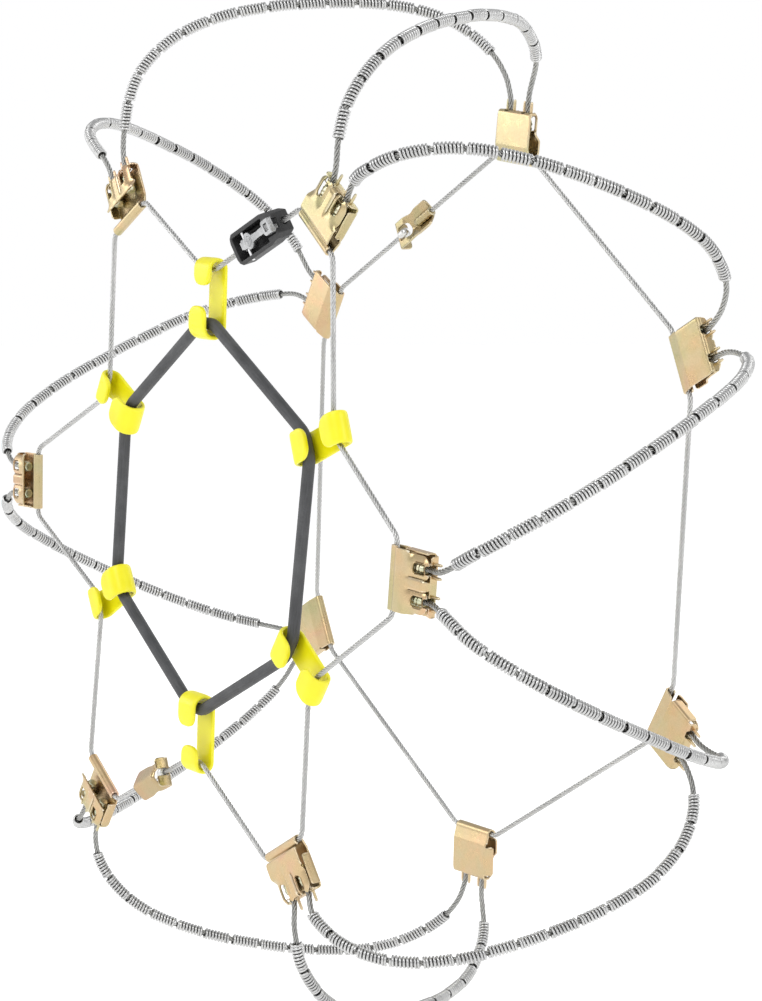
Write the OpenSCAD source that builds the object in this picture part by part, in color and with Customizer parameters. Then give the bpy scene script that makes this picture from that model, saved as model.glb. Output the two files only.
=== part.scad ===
// Tire snow chains, cable type, shown in the shape they take when fitted.
// Frame: origin at the centre of the tyre space, Y is the wheel axis,
// the outer face of the wheel looks towards -Y, Z is up. Millimetres.

/* [Tyre space] */
// Outer radius of the tyre that the net fits over
tyre_r = 321; // [318:1:324]
// Section width of the tyre that the net fits over
tyre_w = 209; // [206:1:212]

/* [Cables] */
// Diameter of the two side cables
side_d = 3.4; // [3:0.1:3.6]
// Diameter of the cross cables
cross_d = 3.6; // [3:0.1:3.8]
// Outside diameter of the traction coils
coil_d = 7.6; // [7.2:0.1:7.6]
// Inside diameter of the traction coils
coil_bore = 5.3; // [5:0.1:5.4]
// Length of one traction coil
coil_len = 17.6; // [14:0.2:18]
// Distance from one traction coil to the next, along the cable
coil_pitch = 19.4; // [19.2:0.2:24]
// Bare cable before the first traction coil, measured from the ferrule
coil_start = 42; // [36:1:60]
// The same at the brackets where the first coil sits close to the prongs
coil_near = 31; // [30:1:42]

/* [Brackets] */
// Length of a bracket's rolled sleeve
bracket_w = 37; // [36:1:40]
// Thickness of the stamped sheet
sheet = 1.4; // [1.2:0.1:1.6]
// Distance between the two ferrules of one bracket
ferrule_gap = 18.6; // [18:0.2:20]
// Diameter of a cross cable ferrule
ferrule_d = 7; // [6.4:0.2:7.2]

/* [Tensioner] */
// Diameter of the rubber tension ring
ring_d = 7.6; // [6.8:0.2:8]
// Width of a plastic tension hook
hook_w = 19.6; // [18:0.2:20]
// Distance from the cable seat to the ring seat of a tension hook
hook_l = 34.5; // [33:0.5:38]

/* [Latch] */
// Length of the latch housing
latch_len = 50; // [48:1:54]
// Width of the latch housing
latch_w = 20.4; // [20:0.2:22]
// Lift of the closed lever, in degrees
lever_lift = 6; // [4:1:10]
// Roll of the latch about its cable, in degrees
latch_roll = 16; // [10:1:20]

/* [Hidden] */
$fn = 48;

// Outer side: plane of the side cable, and the place of each bracket and hook
// as [radius, angle]. The net sits unevenly, as the two fasteners add length.
yo = -(tyre_w / 2 + 3.5);
yi = -yo;
brackets = [[205, 116.4], [216, 50.9], [219.5, -7.5], [222, -64.5], [228, -126], [226, -182]];
// the right-hand brackets lean in over the sidewall, in degrees
lean = [0, 8, 8, 8, 0, 0];
hooks = [[149, 86], [165, 18.8], [163, -37.6], [160, -94], [155, -153.6], [144.5, -210.7]];
// Inner side: angle of each bracket, all on one radius
inner_r = 224;
inner_a = [81, 23.5, -34, -93, -154, -213];
sleeve_d = side_d + 3;
sleeve_bore = side_d + 0.8;
leg = ferrule_d / 2 + 0.3;

function pol(r, a, y) = [r * cos(a), y, r * sin(a)];
function unit(v) = v / norm(v);
function crom(a, b, c, d, t) = 0.5 * (2 * b + (c - a) * t + (2 * a - 5 * b + 4 * c - d) * t * t + (3 * b - a - 3 * c + d) * t * t * t);
function smooth(p, n) = [for (i = [0 : len(p) - 2]) for (k = [0 : n - 1])
  crom(p[max(i - 1, 0)], p[i], p[i + 1], p[min(i + 2, len(p) - 1)], k / n), p[len(p) - 1]];
function run(p) = [for (i = 0, s = 0; i < len(p); s = s + (i < len(p) - 1 ? norm(p[i + 1] - p[i]) : 0), i = i + 1) s];
function table(p, s, k) = [for (i = [0 : len(p) - 1]) [s[i], p[i][k]]];
function at(tx, ty, tz, s) = [lookup(s, tx), lookup(s, ty), lookup(s, tz)];

// Section of the tyre space that the cross cables lie on, as [radius, y]
function half_section() = let (w = tyre_w / 2, r = tyre_r) [[r - 55, -w - 2], [r - 45, -w - 0.8], [r - 34, -w + 2.4],
  [r - 24, -w + 9], [r - 15, -w + 18.5], [r - 8, -w + 29.5], [r - 2.5, -w + 43.5], [r + 1.5, -w + 62.5], [r + 3.6, -w + 84.5]];
function flip(p) = [for (i = [len(p) - 1 : -1 : 0]) [p[i][0], -p[i][1]]];
// the cable keeps straight through its ferrule, in line with the leaning bracket
function section(ra, la, rb) = smooth(concat([for (x = [15, 22.5, 30]) [ra + x * cos(la), yo + x * sin(la)]], half_section(), [[tyre_r + 4, 0]],
  flip(half_section()), [[rb + 30, yi], [rb + 22.5, yi], [rb + 15, yi]]), 6);

// A cross cable leaves its ferrule square to the side cable, then crosses the
// tyre on a line close to the shortest path round it.
function ramp(s) = s < 17 ? 0 : s > 41 ? 1 : (s - 17) / 24;
function weight(p, s, l) = ramp(s) * ramp(l - s) / (p[0] * sqrt(p[0] * p[0] - 105 * 105));
function sweep_angle(q, s, l) = [for (i = 0, a = 0; i < len(q);
  a = a + (i < len(q) - 1 ? weight((q[i] + q[i + 1]) / 2, (s[i] + s[i + 1]) / 2, l) * (s[i + 1] - s[i]) : 0), i = i + 1) a];
// side is +1 or -1: which ferrule of the outer bracket the cable starts from
function strand(ra, aa, la, rb, ab, side) = let (q = section(ra, la, rb), s = run(q), l = s[len(s) - 1], g = sweep_angle(q, s, l), e = g[len(g) - 1])
  [for (i = [0 : len(q) - 1]) let (u = g[i] / e, o = side * asin(ferrule_gap / 2 / q[i][0]))
    pol(q[i][0], (aa + o) * (1 - u) + (ab - o) * u, q[i][1])];
// Strand i goes from outer bracket i to the inner bracket on its + side (up) or - side
function strand_points(i, up) = let (b = brackets[i], j = up ? (i + 5) % 6 : i, ai = inner_a[j] + (up && i == 0 ? 360 : 0), s = up ? 1 : -1)
  strand(b[0], b[1], lean[i], inner_r, ai, s);

// Round tube swept along points; up_ref gives a steady sideways direction
function ring_points(p, t, n, r, k) = let (u = unit(cross(t, n)), v = cross(u, t)) [for (i = [0 : k - 1]) p + r * (cos(360 * (i + 0.5) / k) * u + sin(360 * (i + 0.5) / k) * v)];
module tube(p, n, r, k = 8, closed = false) {
  m = len(p);
  pts = [for (i = [0 : m - 1]) let (
      a = closed ? p[(i + m - 1) % m] : p[max(i - 1, 0)], b = closed ? p[(i + 1) % m] : p[min(i + 1, m - 1)])
    each ring_points(p[i], unit(b - a), n[i], r, k)];
  sides = [for (i = [0 : (closed ? m - 1 : m - 2)]) for (j = [0 : k - 1]) let (i2 = (i + 1) % m, j2 = (j + 1) % k)
    [i * k + j, i * k + j2, i2 * k + j2, i2 * k + j]];
  ends = closed ? [] : [[for (j = [k - 1 : -1 : 0]) j], [for (j = [0 : k - 1]) (m - 1) * k + j]];
  polyhedron(pts, concat(sides, ends), convexity = 12);
}
function even(p, step, s0, s1) = let (s = run(p), l = s[len(s) - 1], a = s0, b = l - s1, n = ceil((b - a) / step),
  tx = table(p, s, 0), ty = table(p, s, 1), tz = table(p, s, 2)) [for (i = [0 : n]) at(tx, ty, tz, a + (b - a) * i / n)];
function outward(p) = [for (q = p) let (r = norm([q[0], q[2]])) unit(q - pol(tyre_r - 62, atan2(q[2], q[0]), 0))];

module cross_cable(i, up) {
  p = even(strand_points(i, up), 11, 1.2, 1.2);
  color([0.66, 0.66, 0.64]) tube(p, outward(p), cross_d / 2, 8);
}
module rod_between(a, b) {
  d = b - a;
  translate(a) rotate([0, acos(d[2] / norm(d)), atan2(d[1], d[0])]) children();
}
module traction_coils(i, up) {
  p = strand_points(i, up);
  s = run(p);
  l = s[len(s) - 1];
  tx = table(p, s, 0);
  ty = table(p, s, 1);
  tz = table(p, s, 2);
  first = (i == 3) == up && i > 0 && i < 4 ? coil_near : coil_start;
  n = floor((l - first - coil_start + coil_pitch - coil_len) / coil_pitch);
  color([0.8, 0.8, 0.8]) for (k = [0 : n - 1]) {
    a = at(tx, ty, tz, first + k * coil_pitch);
    c = at(tx, ty, tz, first + k * coil_pitch + coil_len / 2);
    b = at(tx, ty, tz, first + k * coil_pitch + coil_len);
    o = (c - (a + b) / 2) * 0.62;
    rod_between(a + o, b + o) difference() {
      cylinder(d = coil_d, h = norm(b - a), $fn = 32);
      translate([0, 0, -1]) cylinder(d = coil_bore, h = norm(b - a) + 2, $fn = 32);
    }
  }
}

// Planar cable with rounded corners: points as [x, z], a radius for each corner
function corner(a, b, c, r, y) = let (u = unit(a - b), v = unit(c - b), h = acos(u * v) / 2, t = r / tan(h), m = b + unit(u + v) * r / sin(h),
  a0 = atan2((b + u * t - m)[1], (b + u * t - m)[0]), a1 = atan2((b + v * t - m)[1], (b + v * t - m)[0]),
  da = a1 - a0 > 180 ? a1 - a0 - 360 : a1 - a0 < -180 ? a1 - a0 + 360 : a1 - a0, n = max(3, ceil(abs(da) / 11)))
  [for (k = [0 : n]) [m[0] + r * cos(a0 + da * k / n), y, m[1] + r * sin(a0 + da * k / n)]];
function rounded(p, r, y) = concat([[p[0][0], y, p[0][1]]], [for (i = [1 : len(p) - 2]) each corner(p[i - 1], p[i], p[i + 1], r[i], y)],
  [[p[len(p) - 1][0], y, p[len(p) - 1][1]]]);
function rounded_loop(p, r, y) = let (m = len(p)) [for (i = [0 : m - 1]) each corner(p[(i + m - 1) % m], p[i], p[(i + 1) % m], r, y)];
function xz(r, a, t = 0) = [r * cos(a) - t * sin(a), r * sin(a) + t * cos(a)];
end_t = bracket_w / 2 + 4.2;
function mouth(i, s) = xz(brackets[i][0], brackets[i][1], s * end_t);
// a cable runs straight across a hook and bends at the hook's two edges
function seat(i, s) = xz(hooks[i][0], hooks[i][1], s * (hook_w / 2 - 2));
function fill(p, y) = [for (q = p) [0, 1, 0]];

// Latch: on the straight run between hook 1 and bracket 2
lat_a = seat(0, -1);
lat_b = mouth(1, 1);
lat_dir = unit(lat_b - lat_a);
lat_c = lat_a + (lat_b - lat_a) * 0.58;
lat_ang = atan2(lat_dir[1], lat_dir[0]);
// Outer hook plate: on the straight run between bracket 5 and hook 4
pla_a = mouth(4, 1);
pla_b = seat(3, -1);
pla_dir = unit(pla_b - pla_a);
pla_c = pla_a + (pla_b - pla_a) * 0.5;
pla_ang = atan2(pla_dir[1], pla_dir[0]);
// Inner hook plate: on the run between inner brackets 1 and 6
function inner_mouth(j, s) = xz(inner_r, inner_a[j], s * end_t);
inp_a = inner_mouth(0, 1);
inp_b = inner_mouth(5, -1);
inp_dir = unit(inp_b - inp_a);
inp_c = (inp_a + inp_b) / 2;
inp_ang = atan2(inp_dir[1], inp_dir[0]);
piv = -21;

module outer_cable_right() {
  p = [lat_c + lat_dir * 2, mouth(1, 1), mouth(1, -1), seat(1, 1), seat(1, -1), mouth(2, 1), mouth(2, -1), seat(2, 1), seat(2, -1),
    mouth(3, 1), mouth(3, -1), seat(3, 1), seat(3, -1), pla_c + pla_dir * 16.2];
  q = rounded(p, [for (k = [0 : 13]) k % 4 == 1 || k % 4 == 2 ? 8 : 10], yo);
  color([0.78, 0.79, 0.8]) tube(q, fill(q), side_d / 2, 8);
}
module outer_cable_left() {
  p = [lat_c - lat_dir * 16.8, seat(0, -1), seat(0, 1), mouth(0, -1), mouth(0, 1), seat(5, -1), seat(5, 1), mouth(5, -1), mouth(5, 1),
    seat(4, -1), seat(4, 1), mouth(4, -1), mouth(4, 1), pla_c + pla_dir * piv];
  q = rounded(p, [for (k = [0 : 13]) k % 4 == 1 || k % 4 == 2 ? 10 : 8], yo);
  color([0.78, 0.79, 0.8]) tube(q, fill(q), side_d / 2, 8);
}
module inner_side_cable() {
  // runs the long way round, from the button back to the hook plate
  pts = concat([inp_c + inp_dir * 16.2, inner_mouth(5, -1), inner_mouth(5, 1)],
    [for (j = [4 : -1 : 1]) each [inner_mouth(j, -1), inner_mouth(j, 1)]], [inner_mouth(0, -1), inner_mouth(0, 1), inp_c + inp_dir * piv]);
  q = rounded(pts, concat([0], [for (k = [1 : len(pts) - 2]) 9], [0]), yi);
  color([0.7, 0.71, 0.72]) tube(q, fill(q), side_d / 2, 8);
}

// Stamped bracket in its own frame: X outward, Y towards the wheel, Z along the side cable
// end is +1 or -1: the end of the sleeve where the flange stands
module bracket_shape(end) {
  f = leg;
  o = leg + sheet;
  difference() {
    union() {
      linear_extrude(height = bracket_w, center = true) union() {
        circle(d = sleeve_d);
        polygon([[0, -sleeve_d / 2], [0, -sleeve_d / 2 + 1.2], [8.4, -f], [16, -f], [16, -o], [8.1, -o]]);
        polygon([[0, sleeve_d / 2], [0, sleeve_d / 2 - 1.2], [8.4, f], [29.6, f], [29.6, -2], [31, -2], [31, o], [8.1, o]]);
      }
      // two lobes of the front leg over the ferrules
      for (s = [-1, 1]) translate([0, 0, s * ferrule_gap / 2]) {
        translate([15.9, -o, -7]) cube([10.5, sheet, 14]);
        translate([26.4, -f, 0]) rotate([90, 0, 0]) cylinder(r = 7, h = sheet);
        translate([28.8, -o, -7]) cube([2.2, o - 1.8, 3.6]);
        translate([28.8, -o, 3.4]) cube([2.2, o - 1.8, 3.6]);
      }
      // upturned flange at one end
      translate([6, -1, end > 0 ? bracket_w / 2 - sheet : -bracket_w / 2]) cube([24, f + 1.4, sheet]);
    }
    translate([0, 0, -bracket_w]) cylinder(d = sleeve_bore, h = 2 * bracket_w);
    for (s = [-1, 1]) translate([0, 0, s * ferrule_gap / 2]) {
      // window over the ferrule
      translate([13.5, -leg - sheet - 3, -4]) cube([11.5, 5, 8]);
      // slot that the cable lies in
      translate([26, -o - 1, -2.3]) cube([8, o + 1, 4.6]);
      translate([26, 0, 0]) rotate([0, 90, 0]) cylinder(d = 4.6, h = 8);
      translate([31, -20, -12]) cube([8, 40, 24]);
    }
    // the front edge between the lobes is cut back
    translate([17, -o - 1, -2.3]) cube([14, 3.4, 4.6]);
  }
  // two guide prongs beside each cable
  for (s = [-1, 1]) for (g = [-1, 1]) translate([30, 0.6, s * ferrule_gap / 2 + g * 3.8]) rotate([0, 90, 0]) cylinder(d = 1.9, h = 8, $fn = 24);
}
module place_outer(i) translate([0, yo, 0]) rotate([0, -brackets[i][1], 0]) translate([brackets[i][0], 0, 0]) rotate([0, 0, lean[i]]) children();
module place_inner(j) translate([0, yi, 0]) rotate([0, -inner_a[j], 0]) translate([inner_r, 0, 0]) mirror([0, 1, 0]) children();
module outer_bracket(i) color([0.82, 0.72, 0.5]) place_outer(i) bracket_shape(i == 1 ? -1 : 1);
module inner_bracket(j) color([0.8, 0.7, 0.48]) place_inner(j) bracket_shape(1);
module ferrule_shape() {
  rotate([0, 90, 0]) difference() {
    union() {
      translate([0, 0, -1]) cylinder(d = ferrule_d - 1, h = 12);
      for (k = [0 : 2]) translate([0, 0, k * 3.4]) cylinder(d = ferrule_d, h = 2.2);
    }
    translate([0, 0, 0.6]) cylinder(d = cross_d + 0.9, h = 20);
  }
}
module ferrule_pair() for (s = [-1, 1]) translate([15, 0, s * ferrule_gap / 2]) ferrule_shape();
module outer_ferrules() color([0.68, 0.69, 0.55]) for (i = [0 : 5]) place_outer(i) ferrule_pair();
module inner_ferrules() color([0.68, 0.69, 0.55]) for (j = [0 : 5]) place_inner(j) ferrule_pair();

// Tension hook in its own frame: X outward from the ring seat to the cable seat, Y towards the wheel
module hook_shape() {
  rs = ring_d / 2 + 1.9;
  cs = side_d / 2 + 2.5;
  t = 2.8;
  cx = 0.4;
  cy = rs - cs;
  rx = -hook_l - 0.6;
  difference() {
    linear_extrude(height = hook_w, center = true) union() {
      // ring seat: half ring, lip in front, strip behind
      difference() {
        translate([rx, 0]) circle(r = rs + t);
        translate([rx, 0]) circle(r = rs);
        translate([rx, -50]) square([100, 100]);
      }
      translate([rx - 0.01, -rs - t]) square([12.5, t]);
      translate([rx - 0.01, rs]) square([-rx + cx + 0.02, t]);
      // cable seat
      difference() {
        translate([cx, cy]) circle(r = cs + t);
        translate([cx, cy]) circle(r = cs);
        translate([cx - 100, cy - 50]) square([100, 100]);
      }
      translate([cx - 10.5, cy - cs - t]) square([10.51, t]);
    }
    translate([rx + 4.2, -rs - t, 0]) tip_cut();
    translate([cx - 2.2, cy - cs - t, 0]) mirror([1, 0, 0]) tip_cut();
  }
}
module tip_cut() {
  difference() {
    translate([0, -3, -hook_w]) cube([20, 8.4, 2 * hook_w]);
    translate([-0.8, 20, 0]) rotate([90, 0, 0]) cylinder(d = hook_w + 0.8, h = 40);
  }
}
module tension_hook(i) color([0.95, 0.92, 0.08]) translate([0, yo, 0]) rotate([0, -hooks[i][1], 0]) translate([hooks[i][0], 0, 0]) hook_shape();
module tension_ring() {
  p = rounded_loop([for (i = [0 : 5]) for (s = [1, -1]) xz(hooks[i][0] - hook_l + 0.9, hooks[i][1], s * (hook_w / 2 - 2))], 14, yo);
  color([0.16, 0.16, 0.17]) tube(p, fill(p), ring_d / 2, 10, true);
}

// Latch in its own frame: X along the side cable, Y towards the wheel
module place_latch() translate([lat_c[0], yo, lat_c[1]]) rotate([0, -lat_ang, 0]) rotate([latch_roll, 0, 0]) children();
lpx = -12;
lpy = -5.4;
module latch_housing() {
  w = latch_w / 2;
  h = latch_len / 2;
  color([0.12, 0.12, 0.13]) place_latch() difference() {
    intersection() {
      translate([0, 4.4, 0]) rotate([90, 0, 0]) linear_extrude(height = 12)
        polygon([[-h, -w + 5], [-h + 4, -w], [h - 12, -w], [h, -w + 3], [h, w - 3], [h - 12, w], [-h + 4, w], [-h, w - 5]]);
      // the long back edges are bevelled
      translate([-h - 1, 0, 0]) rotate([90, 0, 90]) linear_extrude(height = 2 * h + 2)
        polygon([[-9, -w - 1], [1.4, -w - 1], [1.4, -w], [4.5, -w + 3.4], [4.5, w - 3.4], [1.4, w], [1.4, w + 1], [-9, w + 1]]);
    }
    // channel, open at the front
    translate([-h + 3.2, -20, -w + 2.6]) cube([latch_len - 15, 22.8, latch_w - 5.2]);
    translate([h - 12, -20, -w + 5]) cube([9.4, 22.8, latch_w - 10]);
    // the lever lies in a notch of the end wall
    translate([h - 8, -20, -3.4]) cube([12, 15.6, 6.8]);
    // cable holes
    translate([-h - 5, 0, 0]) rotate([0, 90, 0]) cylinder(d = side_d + 1, h = latch_len + 10);
    // pin bores
    translate([lpx, lpy, -w - 5]) cylinder(d = 2.6, h = latch_w + 10, $fn = 32);
  }
}
module latch_pin() color([0.85, 0.86, 0.88]) place_latch() translate([lpx, lpy, -latch_w / 2 - 0.4]) cylinder(d = 2.2, h = latch_w + 0.8, $fn = 32);
module latch_cable_stop() color([0.7, 0.7, 0.7]) place_latch() translate([-latch_len / 2 + 4, 0, 0]) rotate([0, 90, 0]) difference() {
  cylinder(d = 5.6, h = 5.6);
  translate([0, 0, -1]) cylinder(d = side_d + 0.4, h = 5.4);
}
module latch_lever() {
  color([0.75, 0.76, 0.78]) place_latch() translate([lpx, lpy, 0]) rotate([0, 0, -lever_lift]) difference() {
    union() {
      translate([0, 0, -3.2]) cylinder(r = 3, h = 6.4);
      translate([-3.6, -2.6, -2.4]) cube([4, 2.6, 4.8]);
      translate([0, -2.6, -2.4]) cube([31, 3, 4.8]);
      translate([8, 0.4, 0]) rotate([90, 0, 0]) cylinder(d = 10.4, h = 3.4);
      translate([8, 0.4, 0]) rotate([90, 0, 0]) cylinder(d = 6.4, h = 4.2);
      translate([29, -3, -4.6]) cube([9.2, 3.4, 9.2]);
    }
    translate([0, 0, -10]) cylinder(d = 2.6, h = 20, $fn = 32);
    translate([31, -10, -2.4]) cube([4.8, 20, 4.8]);
  }
}

// Hook plate in its own frame: X along the side cable, pivot at x = piv, Y towards the wheel
module plate_shape() {
  difference() {
    union() {
      // folded cover over the crimp
      rotate([0, 90, 0]) translate([0, 0, piv + 1.6]) linear_extrude(height = 31) polygon([[-9.5, 3], [-9.5, 1.4], [-1.6, -4.4], [1.6, -4.4], [9.5, 1.4], [9.5, 3], [1.2, -2.9], [-1.2, -2.9]]);
      rotate([0, 90, 0]) translate([0, 0, piv + 1.6]) cylinder(d = sleeve_d, h = 17);
      // side straps to the claw
      for (s = [-1, 1]) translate([piv + 30, 1.4, s * 7.4 - 2.1]) cube([12, 1.6, 4.2]);
      // claw
      translate([19.4, -6.4, -9.5]) cube([1.6, 9.4, 19]);
    }
    translate([7, -10, -4.8]) cube([12.4, 14, 9.6]);
    translate([15, -10, -2.1]) cube([10, 12.1, 4.2]);
  }
}
module place_plate() translate([pla_c[0], yo, pla_c[1]]) rotate([0, -pla_ang, 0]) children();
module place_inner_plate() translate([inp_c[0], yi, inp_c[1]]) rotate([0, -inp_ang, 0]) mirror([0, 1, 0]) children();
module button_shape() rotate([0, 90, 0]) translate([0, 0, 14.2]) difference() {
  union() { cylinder(d = 7.4, h = 4.8); translate([0, 0, 0]) sphere(d = 7.4); }
  translate([0, 0, 1.4]) cylinder(d = side_d + 0.4, h = 10);
}
module outer_hook_plate() color([0.8, 0.72, 0.5]) place_plate() plate_shape();
module outer_button() color([0.72, 0.72, 0.7]) place_plate() button_shape();
module inner_hook_plate() color([0.8, 0.72, 0.5]) place_inner_plate() plate_shape();
module inner_button() color([0.72, 0.72, 0.7]) place_inner_plate() button_shape();

outer_cable_right();
outer_cable_left();
inner_side_cable();
outer_bracket(0);  // outer_bracket_1
outer_bracket(1);  // outer_bracket_2
outer_bracket(2);  // outer_bracket_3
outer_bracket(3);  // outer_bracket_4
outer_bracket(4);  // outer_bracket_5
outer_bracket(5);  // outer_bracket_6
inner_bracket(0);  // inner_bracket_1
inner_bracket(1);  // inner_bracket_2
inner_bracket(2);  // inner_bracket_3
inner_bracket(3);  // inner_bracket_4
inner_bracket(4);  // inner_bracket_5
inner_bracket(5);  // inner_bracket_6
outer_ferrules();
inner_ferrules();
cross_cable(0, true);  // cross_cable_1a
cross_cable(0, false);  // cross_cable_1b
cross_cable(1, true);  // cross_cable_2a
cross_cable(1, false);  // cross_cable_2b
cross_cable(2, true);  // cross_cable_3a
cross_cable(2, false);  // cross_cable_3b
cross_cable(3, true);  // cross_cable_4a
cross_cable(3, false);  // cross_cable_4b
cross_cable(4, true);  // cross_cable_5a
cross_cable(4, false);  // cross_cable_5b
cross_cable(5, true);  // cross_cable_6a
cross_cable(5, false);  // cross_cable_6b
traction_coils(0, true);  // traction_coils_1a
traction_coils(0, false);  // traction_coils_1b
traction_coils(1, true);  // traction_coils_2a
traction_coils(1, false);  // traction_coils_2b
traction_coils(2, true);  // traction_coils_3a
traction_coils(2, false);  // traction_coils_3b
traction_coils(3, true);  // traction_coils_4a
traction_coils(3, false);  // traction_coils_4b
traction_coils(4, true);  // traction_coils_5a
traction_coils(4, false);  // traction_coils_5b
traction_coils(5, true);  // traction_coils_6a
traction_coils(5, false);  // traction_coils_6b
tension_hook(0);  // tension_hook_1
tension_hook(1);  // tension_hook_2
tension_hook(2);  // tension_hook_3
tension_hook(3);  // tension_hook_4
tension_hook(4);  // tension_hook_5
tension_hook(5);  // tension_hook_6
tension_ring();
latch_housing();
latch_lever();
latch_pin();
latch_cable_stop();
outer_hook_plate();
outer_button();
inner_hook_plate();
inner_button();
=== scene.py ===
import math

import bmesh
import bpy
import numpy as np
from mathutils import Matrix, Vector


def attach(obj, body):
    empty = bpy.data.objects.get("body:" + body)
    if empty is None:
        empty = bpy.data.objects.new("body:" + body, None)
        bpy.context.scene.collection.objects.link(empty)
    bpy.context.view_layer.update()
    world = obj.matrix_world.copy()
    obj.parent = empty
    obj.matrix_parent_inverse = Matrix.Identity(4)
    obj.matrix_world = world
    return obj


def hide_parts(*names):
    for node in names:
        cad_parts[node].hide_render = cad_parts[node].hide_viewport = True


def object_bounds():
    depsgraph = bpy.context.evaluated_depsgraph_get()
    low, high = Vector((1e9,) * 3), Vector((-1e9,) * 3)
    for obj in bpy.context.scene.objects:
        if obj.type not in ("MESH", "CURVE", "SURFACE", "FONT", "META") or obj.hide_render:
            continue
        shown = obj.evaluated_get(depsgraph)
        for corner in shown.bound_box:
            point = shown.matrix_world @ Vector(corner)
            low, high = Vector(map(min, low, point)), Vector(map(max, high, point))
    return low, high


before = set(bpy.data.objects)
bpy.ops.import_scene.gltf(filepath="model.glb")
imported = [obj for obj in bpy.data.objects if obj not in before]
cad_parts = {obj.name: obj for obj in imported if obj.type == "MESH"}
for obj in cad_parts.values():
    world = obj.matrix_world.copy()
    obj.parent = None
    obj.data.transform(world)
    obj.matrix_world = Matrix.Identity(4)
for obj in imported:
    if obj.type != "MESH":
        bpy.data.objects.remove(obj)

cad_lo, cad_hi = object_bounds()
MM = 0.001
rng = np.random.default_rng(7)
rad = math.radians

# ---------------------------------------------------------------- design values (mm), as in the CAD model
tyre_r, tyre_w = 321.0, 209.0
side_d, cross_d, coil_d = 3.4, 3.6, 7.6
coil_len, coil_pitch, coil_start, coil_near = 17.6, 19.4, 42.0, 31.0
bracket_w, gap, ferrule_d = 37.0, 18.6, 7.0
ring_d, hook_w, hook_l = 7.6, 19.6, 34.5
latch_len, latch_w, lever_lift, latch_roll = 50.0, 20.4, 6.0, 16.0
yo = -(tyre_w / 2 + 3.5)
yi = -yo
BR = [(205, 116.4), (216, 50.9), (219.5, -7.5), (222, -64.5), (228, -126), (226, -182)]
LEAN = [0, 8, 8, 8, 0, 0]
HK = [(149, 86), (165, 18.8), (163, -37.6), (160, -94), (155, -153.6), (144.5, -210.7)]
inner_r = 224.0
inner_a = [81, 23.5, -34, -93, -154, -213]
end_t = bracket_w / 2 + 4.2
piv = -21.0

def unit(v):
    v = np.asarray(v, float)
    return v / np.linalg.norm(v)


def xz(r, a, t=0.0):
    a = rad(a)
    return np.array([r * math.cos(a) - t * math.sin(a), r * math.sin(a) + t * math.cos(a)])


def smooth_line(p, n):
    p = np.asarray(p, float)
    out = []
    m = len(p)
    for i in range(m - 1):
        a, b, c, d = p[max(i - 1, 0)], p[i], p[i + 1], p[min(i + 2, m - 1)]
        for k in range(n):
            t = k / n
            out.append(0.5 * (2 * b + (c - a) * t + (2 * a - 5 * b + 4 * c - d) * t * t + (3 * b - a - 3 * c + d) * t ** 3))
    out.append(p[-1])
    return np.array(out)


def run(p):
    return np.concatenate([[0], np.cumsum(np.linalg.norm(np.diff(p, axis=0), axis=1))])


def half_section():
    w, r = tyre_w / 2, tyre_r
    return [(r - 55, -w - 2), (r - 45, -w - 0.8), (r - 34, -w + 2.4), (r - 24, -w + 9), (r - 15, -w + 18.5), (r - 8, -w + 29.5),
            (r - 2.5, -w + 43.5), (r + 1.5, -w + 62.5), (r + 3.6, -w + 84.5)]


def section(ra, la, rb):
    h = half_section()
    f = [(a, -b) for a, b in h[::-1]]
    c, s = math.cos(rad(la)), math.sin(rad(la))
    return smooth_line([(ra + x * c, yo + x * s) for x in (15, 22.5, 30)] + h + [(tyre_r + 4, 0)] + f + [(rb + x, yi) for x in (30, 22.5, 15)], 12)


def ramp(s):
    return 0.0 if s < 17 else 1.0 if s > 41 else (s - 17) / 24


def strand_points(i, up):
    ra, aa = BR[i]
    j = (i + 5) % 6 if up else i
    ab = inner_a[j] + (360 if up and i == 0 else 0)
    side = 1 if up else -1
    q = section(ra, LEAN[i], inner_r)
    s = run(q)
    l = s[-1]
    g = [0.0]
    for k in range(len(q) - 1):
        p = (q[k] + q[k + 1]) / 2
        m = (s[k] + s[k + 1]) / 2
        g.append(g[-1] + ramp(m) * ramp(l - m) / (p[0] * math.sqrt(p[0] ** 2 - 105 ** 2)) * (s[k + 1] - s[k]))
    g = np.array(g) / g[-1]
    o = side * np.degrees(np.arcsin(gap / 2 / q[:, 0]))
    a = np.radians((aa + o) * (1 - g) + (ab - o) * g)
    return np.stack([q[:, 0] * np.cos(a), q[:, 1], q[:, 0] * np.sin(a)], 1)


def corner(a, b, c, r, y, n=10):
    u, v = unit(a - b), unit(c - b)
    h = math.acos(max(-1, min(1, float(u @ v)))) / 2
    t = r / math.tan(h)
    m = b + unit(u + v) * r / math.sin(h)
    p0, p1 = b + u * t - m, b + v * t - m
    a0, a1 = math.atan2(p0[1], p0[0]), math.atan2(p1[1], p1[0])
    da = (a1 - a0 + math.pi) % (2 * math.pi) - math.pi
    return [(m[0] + r * math.cos(a0 + da * k / n), y, m[1] + r * math.sin(a0 + da * k / n)) for k in range(n + 1)]


def rounded(p, r, y):
    out = [(p[0][0], y, p[0][1])]
    for i in range(1, len(p) - 1):
        out += corner(p[i - 1], p[i], p[i + 1], r[i], y)
    return np.array(out + [(p[-1][0], y, p[-1][1])])


def mouth(i, s):
    return xz(BR[i][0], BR[i][1], s * end_t)


def seat(i, s):
    return xz(HK[i][0], HK[i][1], s * (hook_w / 2 - 2))


def inner_mouth(j, s):
    return xz(inner_r, inner_a[j], s * end_t)


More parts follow.
